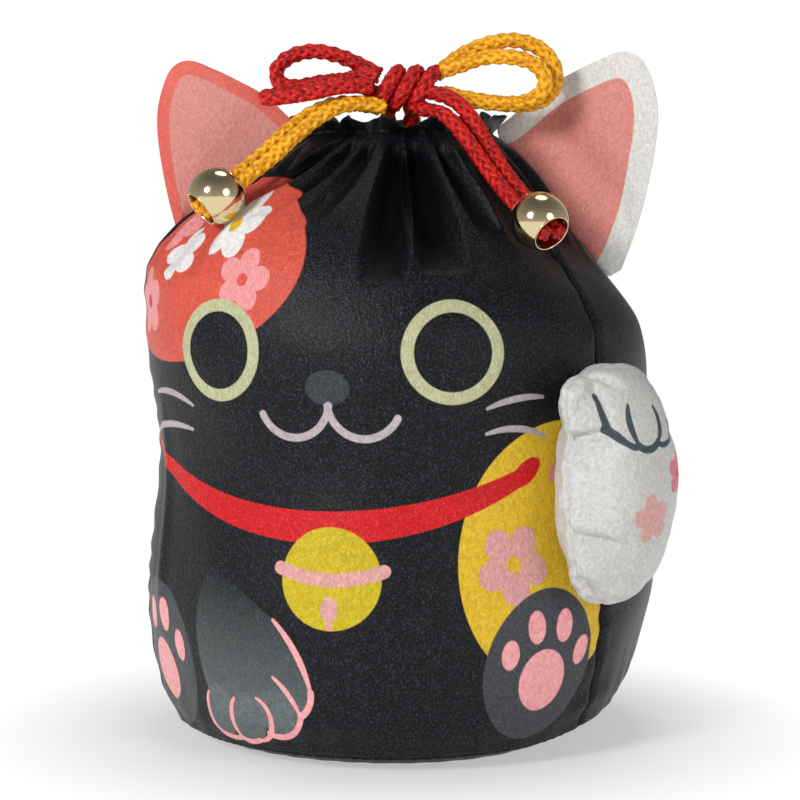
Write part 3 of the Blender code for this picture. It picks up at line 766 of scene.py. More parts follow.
def braid_tree():
    """Strands wound both ways round a line, each over and under the others, on a soft core."""
    tree = bpy.data.node_groups.new("braid", "GeometryNodeTree")
    tree.is_modifier = True
    face = tree.interface
    face.new_socket("Geometry", in_out="INPUT", socket_type="NodeSocketGeometry")
    for label, value in (
        ("Cord diameter", CORD),
        ("Strand radius", 0.00062),
        ("Lift", 0.00014),
        ("Turn length", BRAID_PITCH),
        ("Spacing", 0.00045),
    ):
        face.new_socket(label, in_out="INPUT", socket_type="NodeSocketFloat").default_value = value
    strands = face.new_socket("Strands each way", in_out="INPUT", socket_type="NodeSocketInt")
    strands.default_value = BRAID_STRANDS
    face.new_socket("Yarn", in_out="INPUT", socket_type="NodeSocketMaterial")
    face.new_socket("Geometry", in_out="OUTPUT", socket_type="NodeSocketGeometry")

    made = Shades(tree)
    given = made.node("NodeGroupInput").outputs
    out = made.node("NodeGroupOutput").inputs

    resample = made.node("GeometryNodeResampleCurve", mode="LENGTH")
    made.put(resample.inputs["Curve"], given["Geometry"])
    made.put(resample.inputs["Length"], given["Spacing"])
    line = resample.outputs[0]

    copies = made.node("GeometryNodeDuplicateElements", domain="SPLINE")
    made.put(copies.inputs["Geometry"], line)
    made.put(copies.inputs["Amount"], made.times(given["Strands each way"], 2.0))
    index = copies.outputs["Duplicate Index"]
    way = made.minus(1.0, made.times(made.maths("MODULO", index, 2.0), 2.0))
    which = made.maths("FLOOR", made.over(index, 2.0))
    along = made.node("GeometryNodeSplineParameter").outputs["Length"]
    turn = made.times(made.over(along, given["Turn length"]), 2 * math.pi)
    start = made.times(made.over(which, given["Strands each way"]), 2 * math.pi)
    angle = made.plus(made.times(turn, way), start)
    cross = made.maths("COSINE", made.times(turn, given["Strands each way"]))
    over_under = made.times(cross, way)
    lift = made.times(over_under, given["Lift"])
    half = made.times(given["Cord diameter"], 0.5)
    reach = made.minus(made.minus(half, given["Strand radius"]), given["Lift"])
    radius = made.plus(reach, lift)
    normal = made.node("GeometryNodeInputNormal").outputs[0]
    tangent = made.node("GeometryNodeInputTangent").outputs[0]
    side = made.vector("CROSS_PRODUCT", tangent, normal)
    first = made.scaled(normal, made.times(made.maths("COSINE", angle), radius))
    second = made.scaled(side, made.times(made.maths("SINE", angle), radius))
    moved = made.node("GeometryNodeSetPosition")
    made.put(moved.inputs["Geometry"], copies.outputs["Geometry"])
    made.put(moved.inputs["Offset"], made.vector("ADD", first, second))
    # How high each strand lies, 1 over and 0 under; the yarn paints shade where it is low
    height = made.node("GeometryNodeStoreNamedAttribute", data_type="FLOAT", domain="POINT")
    made.put(height.inputs["Geometry"], moved.outputs[0])
    made.put(height.inputs["Name"], "height")
    made.put(height.inputs["Value"], made.plus(made.times(over_under, 0.5), 0.5))

    def tube(curve, radius, sides):
        profile = made.node("GeometryNodeCurvePrimitiveCircle")
        profile.inputs["Resolution"].default_value = sides
        made.put(profile.inputs["Radius"], radius)
        swept = made.node("GeometryNodeCurveToMesh")
        made.put(swept.inputs["Curve"], curve)
        made.put(swept.inputs["Profile Curve"], profile.outputs[0])
        swept.inputs["Fill Caps"].default_value = True
        return swept.outputs[0]

    join = made.node("GeometryNodeJoinGeometry")
    tree.links.new(tube(height.outputs[0], given["Strand radius"], 6), join.inputs[0])
    tree.links.new(tube(line, made.times(given["Cord diameter"], BRAID_CORE), 12), join.inputs[0])
    smooth = made.node("GeometryNodeSetShadeSmooth")
    made.put(smooth.inputs[0], join.outputs[0])
    real = made.node("GeometryNodeRealizeInstances")
    made.put(real.inputs[0], smooth.outputs[0])
    finish = made.node("GeometryNodeSetMaterial")
    made.put(finish.inputs["Geometry"], real.outputs[0])
    made.put(finish.inputs["Material"], given["Yarn"])
    made.put(out["Geometry"], finish.outputs[0])
    return tree


BRAID = braid_tree()


def placed(name, data):
    """An object in the scene's own collection."""
    made = bpy.data.objects.new(name, data)
    bpy.context.scene.collection.objects.link(made)
    return made


def stands_for(piece, node):
    """The piece is seen in place of the named node, on the pouch's one body."""
    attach(piece, "root")
    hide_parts(node)


def places_of(holder, key, count):
    """The places or normals kept in a collection, one row each."""
    flat = np.empty(count * 3)
    holder.foreach_get(key, flat)
    return flat.reshape(-1, 3)


def modifier_input(tree, label):
    """The key under which a modifier keeps the named input of its node group."""
    for item in tree.interface.items_tree:
        if item.item_type == "SOCKET" and item.in_out == "INPUT" and item.name == label:
            return item.identifier
    raise KeyError(label)


def made_real(source, name):
    """The object's evaluated shape as a mesh object of its own; the source goes."""
    graph = bpy.context.evaluated_depsgraph_get()
    mesh = bpy.data.meshes.new_from_object(source.evaluated_get(graph))
    mesh.name = name
    bpy.data.objects.remove(source)
    return placed(name, mesh)


def braided(name, line, yarn):
    """A braided cord along a line of points."""
    data = bpy.data.curves.new(name, "CURVE")
    data.dimensions = "3D"
    spline = data.splines.new("POLY")
    spline.points.add(len(line) - 1)
    for point, place in zip(spline.points, line):
        point.co = (*place, 1.0)
    holder = placed(name + "_line", data)
    braid = holder.modifiers.new("braid", "NODES")
    braid.node_group = BRAID
    braid[modifier_input(BRAID, "Yarn")] = yarn
    return made_real(holder, name)


LINE_STEP = 0.0012


def channel_point(along, inward):
    """A point of the neck's section: along the channel's slope and inward from its outer face."""
    radius = NECK_RADIUS + along * math.cos(CHANNEL_SLOPE) - inward * math.sin(CHANNEL_SLOPE)
    height = NECK_HEIGHT - along * math.sin(CHANNEL_SLOPE) - inward * math.cos(CHANNEL_SLOPE)
    return radius, height


LOWER_CORD = channel_point(1.5 * CORD + 2 * CLEARANCE, WALL + CLEARANCE + CORD / 2)
UPPER_CORD = channel_point(0.5 * CORD + CLEARANCE, WALL + CLEARANCE + CORD / 2)

# Cord routes in millimetres: to the right of the bow, forward from the axis and up from the neck
RED_FEED = [(4.0, 22.1, -6.0), (2.6, 19.4, -3.8), (2.4, 16.1, -1.2), (2.4, 15.2, 1.7), (2.8, 15.4, 4.0)]
YELLOW_FEED = [(7.4, 14.0, -3.1), (4.6, 11.4, -0.3), (3.0, 10.4, 3.1), (2.4, 10.4, 6.1), (2.4, 11.8, 8.3)]
RED_LOOP_A = [
    (-4.8, 15.0, 13.1), (-9.0, 14.4, 15.3), (-14.0, 14.0, 17.4), (-19.6, 13.8, 18.5),
    (-25.0, 14.0, 17.3), (-28.2, 14.6, 14.3), (-27.4, 15.2, 11.1), (-23.4, 16.0, 10.3),
    (-17.6, 16.2, 11.3), (-11.5, 16.2, 11.5), (-5.6, 16.2, 8.9),
]
RED_LOOP_B = [
    (-5.2, 20.8, 12.5), (-12.0, 20.6, 11.7), (-19.0, 20.4, 10.1), (-25.0, 20.6, 8.9),
    (-29.4, 22.0, 7.9), (-30.2, 24.6, 7.3), (-27.0, 26.6, 7.3), (-20.0, 26.4, 8.3),
    (-13.0, 25.6, 9.8), (-6.4, 24.4, 9.9),
]
YELLOW_LOOP_A = [
    (8.2, 14.4, 13.1), (14.0, 14.6, 17.5), (20.3, 15.6, 20.1), (26.5, 16.6, 20.7),
    (32.0, 17.6, 18.7), (35.0, 18.2, 14.9), (35.2, 18.2, 10.5), (32.4, 17.4, 7.1),
    (27.6, 16.4, 6.1), (21.6, 15.6, 6.7), (15.6, 14.8, 7.7), (9.4, 14.2, 8.7),
]
YELLOW_LOOP_B = [
    (8.6, 18.8, 13.3), (13.6, 19.4, 14.9), (18.6, 20.2, 16.5), (24.2, 21.2, 16.7),
    (29.4, 22.2, 15.5), (32.6, 22.8, 12.3), (32.0, 22.6, 8.7), (28.0, 21.8, 6.5),
    (22.0, 20.6, 6.3), (16.0, 19.4, 7.1), (9.8, 18.4, 8.9),
]
YELLOW_TAIL = [
    (-4.2, 20.6, 5.4), (-9.0, 22.2, 6.1), (-14.0, 24.0, 5.7), (-19.0, 26.2, 3.3),
    (-24.4, 28.2, -0.9), (-29.4, 29.8, -5.7), (-34.9, 32.2, -10.1), (-40.5, 34.8, -14.8),
    (-44.2, 36.2, -18.1),
]
RED_TAIL = [
    (4.2, 20.2, 7.6), (7.2, 23.0, 6.5), (9.8, 25.4, 5.7), (12.6, 27.8, 3.7),
    (15.6, 29.4, -0.1), (18.8, 30.8, -5.1), (22.4, 34.8, -10.7), (26.4, 39.8, -15.9),
    (30.3, 44.4, -20.3), (33.0, 47.6, -23.2),
]
KNOT_CENTRE = (2.0, 19.0, 9.7)


def drawstring(name, place, leave, feed, yarn):
    """One cord round its channel, with both ends led up to the knot."""
    right = route(feed)
    left = route([(-t, r, z) for t, r, z in feed])
    steps = 26
    ring = [
        at(BOW_ANGLE + leave + (2 * math.pi - 2 * leave) * i / steps, *place) for i in range(steps + 1)
    ]
    line = through([*reversed(right), *ring, *left], LINE_STEP)
    return braided(name, line, yarn), line


def tail_lines(points, start_normal):
    """Two lines side by side along one route, abreast on the cloth and in the bead."""
    middle = through(route(points), LINE_STEP)
    along = np.gradient(middle, axis=0)
    along /= np.linalg.norm(along, axis=1)[:, None]
    first = np.array(bow_point(Vector(start_normal)))
    half = CORD / 2 + CLEARANCE / 2
    left, right = [], []
    for i, (place, way) in enumerate(zip(middle, along)):
        share = smooth_step(i / len(middle), 0.0, 0.6)
        outward = np.array([place[0], place[1], math.hypot(place[0], place[1])])
        outward /= np.linalg.norm(outward)
        across = np.cross(way, (1.0 - share) * first + share * outward)
        across *= half / np.linalg.norm(across)
        left.append(place - across)
        right.append(place + across)
    bead_centre = np.array(route(points)[-2])
    nearest = int(np.argmin(np.linalg.norm(middle - bead_centre, axis=1)))
    return left, right, Vector(bead_centre), Vector(along[nearest])


def grid_mesh(name, rows, finish, close_rows=False, close_columns=False, caps=False, marks=None, label=""):
    """A mesh over rows of places, all of one length; marks go in an attribute named by label."""
    rows = np.asarray(rows, float)
    count, width = rows.shape[:2]
    i = np.arange(count if close_rows else count - 1)[:, None]
    j = np.arange(width if close_columns else width - 1)[None, :]
    here = i * width + j
    beside = i * width + (j + 1) % width
    over = (i + 1) % count * width + j
    far = (i + 1) % count * width + (j + 1) % width
    faces = np.stack([here, beside, far, over], axis=-1).reshape(-1, 4).tolist()
    if caps:
        if close_rows:
            faces.append([k * width for k in range(count)][::-1])
            faces.append([k * width + width - 1 for k in range(count)])
        else:
            faces.append(list(range(width))[::-1])
            faces.append([(count - 1) * width + j for j in range(width)])
    mesh = bpy.data.meshes.new(name)
    mesh.from_pydata(rows.reshape(-1, 3).tolist(), [], faces)
    if marks is not None:
        stored = mesh.attributes.new(label, "FLOAT", "POINT")
        stored.data.foreach_set("value", np.ravel(marks))
    solid = bmesh.new()
    solid.from_mesh(mesh)
    bmesh.ops.remove_doubles(solid, verts=solid.verts, dist=1e-7)
    bmesh.ops.recalc_face_normals(solid, faces=solid.faces)
    solid.to_mesh(mesh)
    solid.free()
    mesh.shade_smooth()
    mesh.materials.append(finish)
    return placed(name, mesh)


def make_bead(name, centre, axis, node):
    """A round bead with a wide hole, its edges slightly rolled in."""
    hole = CORD + 1.5 * CLEARANCE
    limit = math.acos(hole / BEAD_RADIUS)
    profile = [
        (BEAD_RADIUS * math.cos(a), BEAD_RADIUS * math.sin(a))
        for a in (limit * 0.985 * (i / 24 - 1.0) for i in range(49))
    ]
    edge = BEAD_RADIUS * math.sin(limit)
    roll = 0.00022

    def rolled(turns, level):
        """The rounded edge of one mouth."""
        turned = [math.radians(turn) for turn in turns]
        return [(hole + roll * math.cos(a), level + roll * math.sin(a)) for a in turned]

    profile += rolled((30, 70, 110, 150), edge - roll)
    profile += [(hole, edge * (1 - i / 4)) for i in range(1, 8)]
    profile += rolled((210, 250, 290, 330), roll - edge)
    turn_to = Vector((0, 0, 1)).rotation_difference(axis)
    columns = 96
    rows = []
    for radius, height in profile:
        row = []
        for j in range(columns):
            a = 2 * math.pi * j / columns
            local = Vector((radius * math.cos(a), radius * math.sin(a), height))
            row.append(centre + turn_to @ local)
        rows.append(row)
    made = grid_mesh(name, rows, gold_plate, close_rows=True, close_columns=True)
    stands_for(made, node)
    return made


def place_cord(piece, node):
    """A finished cord takes its node's place."""
    stands_for(piece, node)


def make_cords():
    """The two drawstrings, the bow's four loops, and the four tails with their beads."""
    for name, place, leave, feed, yarn, slot in (
        ("red_drawstring", LOWER_CORD, math.radians(15.0), RED_FEED, red_yarn, "red_cord"),
        ("yellow_drawstring", UPPER_CORD, math.radians(31.0), YELLOW_FEED, yellow_yarn, "yellow_cord"),
    ):
        piece, line = drawstring(name + "_braid", place, leave, feed, yarn)
        place_cord(piece, name)
    for name, points, yarn, slot in (
        ("red_loop_a", RED_LOOP_A, red_yarn, "red_cord"),
        ("red_loop_b", RED_LOOP_B, red_yarn, "red_cord"),
        ("yellow_loop_a", YELLOW_LOOP_A, yellow_yarn, "yellow_cord"),
        ("yellow_loop_b", YELLOW_LOOP_B, yellow_yarn, "yellow_cord"),
    ):
        line = through(route(points), LINE_STEP)
        place_cord(braided(name + "_braid", line, yarn), name)
    for stem, points, normal, yarn, slot, bead in (
        ("yellow_tail", YELLOW_TAIL, (0, 0, 1), yellow_yarn, "yellow_cord", "bead_left"),
        ("red_tail", RED_TAIL, (0, 1, 0), red_yarn, "red_cord", "bead_right"),
    ):
        left, right, centre, way = tail_lines(points, normal)
        ball = make_bead(bead + "_plated", centre, way, bead)
        for letter, line in (("a", left), ("b", right)):
            name = f"{stem}_{letter}"
            piece = braided(name + "_braid", line, yarn)
            place_cord(piece, name)


# The knot's turns and the core inside them, in millimetres from its centre
KNOT_TURNS = 2.7
KNOT_START = math.radians(200)
KNOT_LEFT = -6.8
KNOT_SPAN = 11.2
KNOT_LEAN = 1.6
KNOT_RADII = (3.7, 3.75)
CORE_MIDDLE = -1.1
CORE_HALF = 5.2
CORE_RADIUS = 3.3


def make_knot():
    """The knot: the red cord wound over a soft core of its own yarn."""
    centre = Vector(KNOT_CENTRE)
    steps = 90
    line = []
    for i in range(steps + 1):
        share = i / steps
        a = 2 * math.pi * KNOT_TURNS * share + KNOT_START
        along = KNOT_LEFT + KNOT_SPAN * share + KNOT_LEAN * math.sin(a)
        offset = Vector((along, KNOT_RADII[0] * math.cos(a), KNOT_RADII[1] * math.sin(a)))
        line.append(route([centre + offset])[0])
    wraps = braided("bow_knot_braid", line, red_yarn)
    filler = bmesh.new()
    filler.from_mesh(wraps.data)
    before = set(filler.verts)
    bmesh.ops.create_uvsphere(filler, u_segments=24, v_segments=16, radius=1.0)
    for v in filler.verts:
        if v not in before:
            t, r, z = v.co
            core = Vector((t * CORE_HALF + CORE_MIDDLE, r * CORE_RADIUS, z * CORE_RADIUS))
            v.co = route([centre + core])[0]
    filler.faces.ensure_lookup_table()
    yarn_slot = filler.faces[0].material_index
    for face in filler.faces:
        face.material_index = yarn_slot
    filler.to_mesh(wraps.data)
    filler.free()
    wraps.data.shade_smooth()
    place_cord(wraps, "bow_knot")


make_cords()
make_knot()


# The pouch's side

STATIONS = [
    (0.0526, SEAM_EDGE_HEIGHT - 0.0015),
    (0.0566, 0.0130),
    (0.0590, 0.0330),
    (0.0568, 0.0640),
    (0.0588, 0.0960),
    (0.0462, 0.1180),
    channel_point(CHANNEL_WIDTH, 0.0),
    channel_point(0.0, 0.0),
]
PROFILE = through(STATIONS, 0.0009)
LIFT_ANGLE = math.radians(112.0)
LIFT_WIDTH = math.radians(44.0)
LIFT = 0.0085
CHEEK_HEIGHT = 0.0960
SHOULDER_HEIGHT = 0.1180
CHANNEL_HEIGHT = STATIONS[-2][1]
LEAN = 0.11
LEAN_ANGLE = math.radians(-74.0)
GATHER_TOP = NECK_HEIGHT - 0.0010
RIDGE = 0.0028
FRILL_THICKNESS = 0.0010
SEAM_ALLOWANCE = 0.0024
SEAM_ALLOWANCE_RISE = 0.00055
WALL_STEP = 0.002
# Slack waves: how far they stand out, how many go round, how they climb and where they start
SLACK_WAVES = [(0.0005, 3, 2.2, 0.6), (0.0004, 5, -3.1, 2.0)]
FULL_SIDE = math.radians(-76)
SLIM_SIDE = math.radians(106)
SIDE_WIDTH = math.radians(46)


def gather_table():
    """Each hollow between two gathers: its angle at the neck and at its low end, that end's height,
    its half width and its depth. The ones over the face follow the real pouch."""
    table = [
        (14.2, 12.0, 0.1070, 6.6, 0.0078),
        (22.4, 27.0, 0.1090, 7.6, 0.0086),
        (4.0, -9.0, 0.1190, 4.4, 0.0038),
        (-4.0, -23.0, 0.1215, 4.6, 0.0042),
        (-13.0, -36.0, 0.1235, 4.8, 0.0042),
        (34.0, 42.0, 0.1170, 5.0, 0.0040),
    ]
    random = np.random.default_rng(5)
    angle = 50.0
    while angle < 330.0:
        width = random.uniform(4.4, 6.6)
        drift = random.uniform(-4.0, 4.0)
        low = random.uniform(0.1080, 0.1220)
        table.append((angle, angle + drift, low, width, random.uniform(0.0024, 0.0044)))
        angle += 2 * width + random.uniform(0.2, 2.0)
    return table


GATHERS = gather_table()


def hollows(angle, height):
    """How far the cloth sinks between its gathers."""
    total = np.zeros(np.broadcast(angle, height).shape)
    for top, bottom, low, half, depth in GATHERS:
        share = (GATHER_TOP - height) / (GATHER_TOP - low)
        held = np.clip(share, 0.0, 1.0)
        middle = math.radians(top) + math.radians(bottom - top) * held
        width = math.radians(half) * (0.62 + 0.38 * np.sin(math.pi * 0.85 * held))
        across = np.clip(1.0 - (wrapped(angle - middle) / width) ** 2, 0.0, 1.0)
        along = (0.2 + 0.8 * smooth_step(share, 0.0, 0.25)) * np.sqrt(np.clip(1.0 - held**2.5, 0.0, 1.0))
        along = np.where(share > 1.0, 0.0, along)
        total = total + depth * across**0.85 * along
    return total


def drape(angle, height):
    """The slack of cloth over what is inside: broad, shallow waves and a few creases."""
    up = height / 0.1
    wave = 0.0
    for reach, count, climb, start in SLACK_WAVES:
        wave = wave + reach * np.sin(count * angle + climb * up + start)
    wave = wave + 0.00022 * np.sin(11 * angle + 7.0 * up) * np.sin(9.0 * up + 1.0)
    puckers = 0.00042 * np.exp(-(height - SEAM_EDGE_HEIGHT) / 0.006)
    wave = wave + puckers * seam_puckers(angle)
    dent = 0.0012 * hump(wrapped(angle - math.radians(88)), 0.0, math.radians(16))
    dent = dent * hump(height, 0.024, 0.012)
    crease = 0.0007 * hump(wrapped(angle + math.radians(51)), 0.0, math.radians(2.4))
    crease = crease * smooth_step(height, 0.022, 0.040) * (1 - smooth_step(height, 0.066, 0.086))
    return wave - dent + crease


def seam_groove(angle, height):
    """The side seams pull the cloth in, with small puckers beside them."""
    total = 0.0
    for sign in (-1, 1):
        away = wrapped(angle - sign * SEAM_ANGLE) * 0.058
        groove = 0.0009 * hump(away, 0.0, 0.0011)
        pucker = 0.00022 * hump(away, 0.0, 0.005) * np.sin(height / 0.0011 + 2 * np.sin(height / 0.006))
        total = total + groove + pucker
    return total


def cloth_radius(angle, height):
    """The pouch's outer surface."""
    plain = np.interp(height, PROFILE[:, 1], PROFILE[:, 0])
    share = smooth_step(height, CHEEK_HEIGHT, SHOULDER_HEIGHT)
    share = share * (1.0 - smooth_step(height, SHOULDER_HEIGHT, CHANNEL_HEIGHT))
    leaning = plain * (1.0 + LEAN * share * np.cos(angle - LEAN_ANGLE))
    ridge = RIDGE * smooth_step(height, CHEEK_HEIGHT + 0.004, SHOULDER_HEIGHT + 0.008)
    ridge = ridge * (1.0 - 0.45 * smooth_step(height, CHANNEL_HEIGHT, NECK_HEIGHT))
    body = smooth_step(height, SEAM_EDGE_HEIGHT, 0.012) * (1 - smooth_step(height, 0.118, 0.134))
    slack = drape(angle, height) * np.maximum(body, 0.25 * (height < 0.02))
    groove = seam_groove(angle, height) * (1 - smooth_step(height, 0.126, 0.136))
    rolls = puffs(angle, height) + filled(angle, height)
    return leaning + ridge - hollows(angle, height) + slack - groove + rolls


def puffs(angle, height):
    """Rolls of cloth pushed out where the cords draw it together, below the bow."""
    total = 0.0
    for middle, width, level, reach in (
        (0, 9, 0.1392, 0.0030),
        (-25, 10, 0.1370, 0.0022),
        (42, 9, 0.1375, 0.0022),
    ):
        across = hump(wrapped(angle - math.radians(middle)), 0.0, math.radians(width))
        total = total + reach * across * hump(height, level, 0.0040)
    return total


def filled(angle, height):
    """The bag is fuller on the side away from the paw."""
    left = hump(wrapped(angle - FULL_SIDE), 0.0, SIDE_WIDTH)
    right = hump(wrapped(angle - SLIM_SIDE), 0.0, SIDE_WIDTH)
    fuller = left * (0.0030 * hump(height, 0.107, 0.014) + 0.0010 * hump(height, 0.040, 0.030))
    slimmer = right * (0.0036 * hump(height, 0.103, 0.020) - 0.0014 * hump(height, 0.034, 0.016))
    return fuller - slimmer


def lifted(radius, angle, height):
    """The base's edge hangs clear of the floor at one side, where nothing inside fills it."""
    share = hump(wrapped(angle - LIFT_ANGLE), 0.0, LIFT_WIDTH) * smooth_step(radius, 0.022, 0.050)
    return height + LIFT * share * (1.0 - smooth_step(height, 0.004, 0.045))


def fold_phase(angle):
    return FOLDS * (angle - BOW_ANGLE) + 0.9 * np.sin(2 * angle + 0.5) + 0.7 * np.sin(3 * angle)


def frill_rows(angles, neck, phase, turn):
    """The frill above the channel: its outside, its turned edge and its inside."""
    top = NECK_HEIGHT + FRILL_RISE - FRILL_DIP * np.exp(-((turn / FRILL_DIP_WIDTH) ** 2))
    top = top + 0.0005 * np.sin(9 * angles + 1.0) + 0.0003 * np.sin(23 * angles)
    bunched = hump(turn, 0.0, math.radians(55.0))
    top = top + 0.0010 * bunched * (np.cos(phase + 0.8) - 0.4)
    waves = FRILL_WAVE * np.cos(phase) + 0.0007 * np.cos(2.0 * phase + 1.1 * np.sin(5 * angles))
    waves = waves * (1.0 + 0.8 * bunched)
    beside_ears = hump(np.abs(wrapped(angles)), math.radians(90.0), math.radians(26.0))
    rim = NECK_RADIUS + FRILL_FLARE * (1.0 - 0.85 * beside_ears) + waves * (1.0 - 0.7 * beside_ears)
    rows = []
    for share in np.linspace(0.1, 1.0, 10):
        bend = share**0.8
        rows.append((neck + (rim - neck) * bend, NECK_HEIGHT + (top - NECK_HEIGHT) * share))
    thick = FRILL_THICKNESS
    rows.append((rim - 0.3 * thick, top + 0.35 * thick))
    rows.append((rim - 0.75 * thick, top + 0.3 * thick))
    for share in np.linspace(0.9, 0.0, 8):
        bend = share**0.8
        inner = neck + (rim - neck) * bend - thick - 0.0002
        rows.append((inner, NECK_HEIGHT + (top - NECK_HEIGHT) * share + 0.1 * thick))
    return rows


def hem_rows(angles, phase, turn):
    """The hem inside the neck, which is open at the front, where the cords come out."""
    open_part = 1.0 - smooth_step(np.abs(turn), HEM_OPENING, HEM_OPENING + 0.02)
    inner_hem = WALL + CHANNEL_DEPTH + HEM
    rows = []
    for along in np.linspace(0.0, 1.0, 6):
        deep = inner_hem + (WALL * 0.95 - inner_hem) * open_part
        ripple = 0.0003 * np.cos(phase * 2.0) * (1.0 - open_part)
        radius, height = channel_point((CHANNEL_WIDTH + HEM) * along, deep + ripple)
        rows.append((np.minimum(radius, cloth_radius(angles, height) - 0.9 * WALL), height))
    for along, deep in ((1.0, WALL * 1.3), (1.05, WALL)):
        radius, height = channel_point((CHANNEL_WIDTH + HEM) * along, np.full_like(angles, deep))
        rows.append((np.minimum(radius, cloth_radius(angles, height) - 0.8 * WALL), height))
    return rows


def wall_rows(angles, above):
    """The inside of the wall, from below the hem down to the base seam."""
    rows = []
    lower = np.interp(np.linspace(0, 1, 16), np.linspace(0, 1, len(PROFILE)), PROFILE[:, 1])[::-1]
    for height in lower:
        if height < above - WALL_STEP:
            rows.append((cloth_radius(angles, height) - WALL * 0.8, np.full_like(angles, height)))
            above = height
    return rows


def panel_rows(angles):
    """The section of the side at each angle: outside, frill, the hem inside, and the inner wall."""
    rows = []
    for height in PROFILE[:, 1]:
        rows.append((cloth_radius(angles, height), np.full_like(angles, height)))
    phase = fold_phase(angles)
    turn = wrapped(angles - BOW_ANGLE)
    rows += frill_rows(angles, rows[-1][0], phase, turn)
    rows += hem_rows(angles, phase, turn)
    rows += wall_rows(angles, rows[-1][1][0])
    rows[-1] = (rows[-1][0] - SEAM_ALLOWANCE, rows[-1][1] + SEAM_ALLOWANCE_RISE)
    places = []
    for radius, height in rows:
        radius = np.broadcast_to(radius, angles.shape)
        height = lifted(radius, angles, np.broadcast_to(height, angles.shape))
        places.append(around_axis(angles, radius, height))
    return np.array(places)


def make_panel(name, start, end, columns, finish, node):
    """One cloth of the side between two angles, with its hollows marked for the satin."""
    angles = np.linspace(start, end, columns)
    rows = panel_rows(angles)
    depths = np.zeros(rows.shape[:2])
    for i, height in enumerate(PROFILE[:, 1]):
        depths[i] = hollows(angles, height)
    made = grid_mesh(name, rows, finish, close_rows=True, caps=True, marks=depths, label="hollow")
    stands_for(made, node)
    return made


# Each panel stops a hair short of the seam's middle
SEAM_GAP = 0.00015 / (PRINT_RADIUS * MM)
FRONT_EDGE = SEAM_ANGLE - SEAM_GAP
BACK_EDGE = SEAM_ANGLE + SEAM_GAP
front = make_panel("front_cloth", -FRONT_EDGE, FRONT_EDGE, 300, printed_cloth, "front_panel")
back = make_panel("back_cloth", BACK_EDGE, 2 * math.pi - BACK_EDGE, 310, black_cloth, "back_panel")


# Base

# Its section, radius and height: out along the floor, up to the seam and back along the inside
BASE_SECTION = [
    (0.0006, 0.0), (0.012, 0.0), (0.024, 0.0), (0.034, 0.0),
    (0.0405, 0.00005), (0.0440, 0.0004), (0.0466, 0.0010), (0.0486, 0.0020),
    (0.0496, 0.0030), (0.0500, 0.0038), (0.0494, 0.0039), (0.0484, 0.0032),
    (0.0455, 0.0017), (0.0410, 0.0010), (0.020, 0.0009), (0.0006, 0.0009),
]
BASE_PUCKER = 0.0003
PIPING_RING = 0.0507
PIPING_HEIGHT = 0.0032
PIPING_RADIUS = 0.0006
PIPING_TWIST = 0.00008


def make_base():
    """The round base and the piping sewn into its seam."""
    angles = np.linspace(0, 2 * math.pi, 240, endpoint=False)
    rows = []
    for radius, height in BASE_SECTION:
        r = radius + BASE_PUCKER * smooth_step(radius, 0.040, 0.049) * seam_puckers(angles)
        z = lifted(r, angles, np.full_like(angles, height))
        rows.append(around_axis(angles, r, z))
    made = grid_mesh("base_cloth", rows, black_cloth, close_rows=True, close_columns=True)
    stands_for(made, "base_panel")

    rows = []
    count = 16
    for k in range(count):
        a = 2 * math.pi * k / count
        thick = PIPING_RADIUS + PIPING_TWIST * np.sin(120 * angles + 2 * a)
        r = PIPING_RING + thick * math.cos(a)
        z = lifted(r, angles, PIPING_HEIGHT + thick * math.sin(a))
        rows.append(around_axis(angles, r, z))
    piping = grid_mesh("piping_cloth", rows, black_cloth, close_rows=True, close_columns=True)
    stands_for(piping, "base_piping")


make_base()


# Ears

# Pieces sewn on lie this far off the cloth
ON_CLOTH = 0.0004

# The edge that isn't sewn on, from the neck round the tip: how far out and how high
EAR_FREE_EDGE = [
    (0.0236, 0.1418),
    (0.0278, 0.1450),
    (0.0335, 0.1500),
    (0.0405, 0.1538),
    (0.0470, 0.1568),
    (0.0530, 0.1588),
    (0.0577, 0.1566),
    (0.0607, 0.1490),
    (0.0611, 0.1410),
    (0.0592, 0.1290),
    (0.0563, 0.1180),
    (0.0530, 0.1090),
]
EAR_COLUMNS = 130
EAR_ROWS = 44
EAR_ROOT_TOP = 0.1390
# Half the ear's thickness at its edge, what the filling adds, and how soon it does
EAR_EDGE = 0.0003
EAR_FILLING = 0.0014
EAR_ROUNDING = 0.0030


def evenly(line, count):
    """The same line with evenly spaced points."""
    along = np.concatenate([[0.0], np.cumsum(np.linalg.norm(np.diff(line, axis=0), axis=1))])
    places = np.linspace(0.0, along[-1], count)
    return np.stack([np.interp(places, along, line[:, k]) for k in range(line.shape[1])], axis=1)


def distance_inside(places, edge):
    """How far places lie inside an edge line; rounder than the edge itself at its corners."""
    spacing = np.linalg.norm(np.diff(edge, axis=0), axis=1).mean()
    squares = ((places[:, None, :] - edge[None, :, :]) ** 2).sum(-1) + (0.3 * spacing) ** 2
    total = (spacing / squares**3).sum(1)
    return (3 * math.pi / 8 / total) ** 0.2


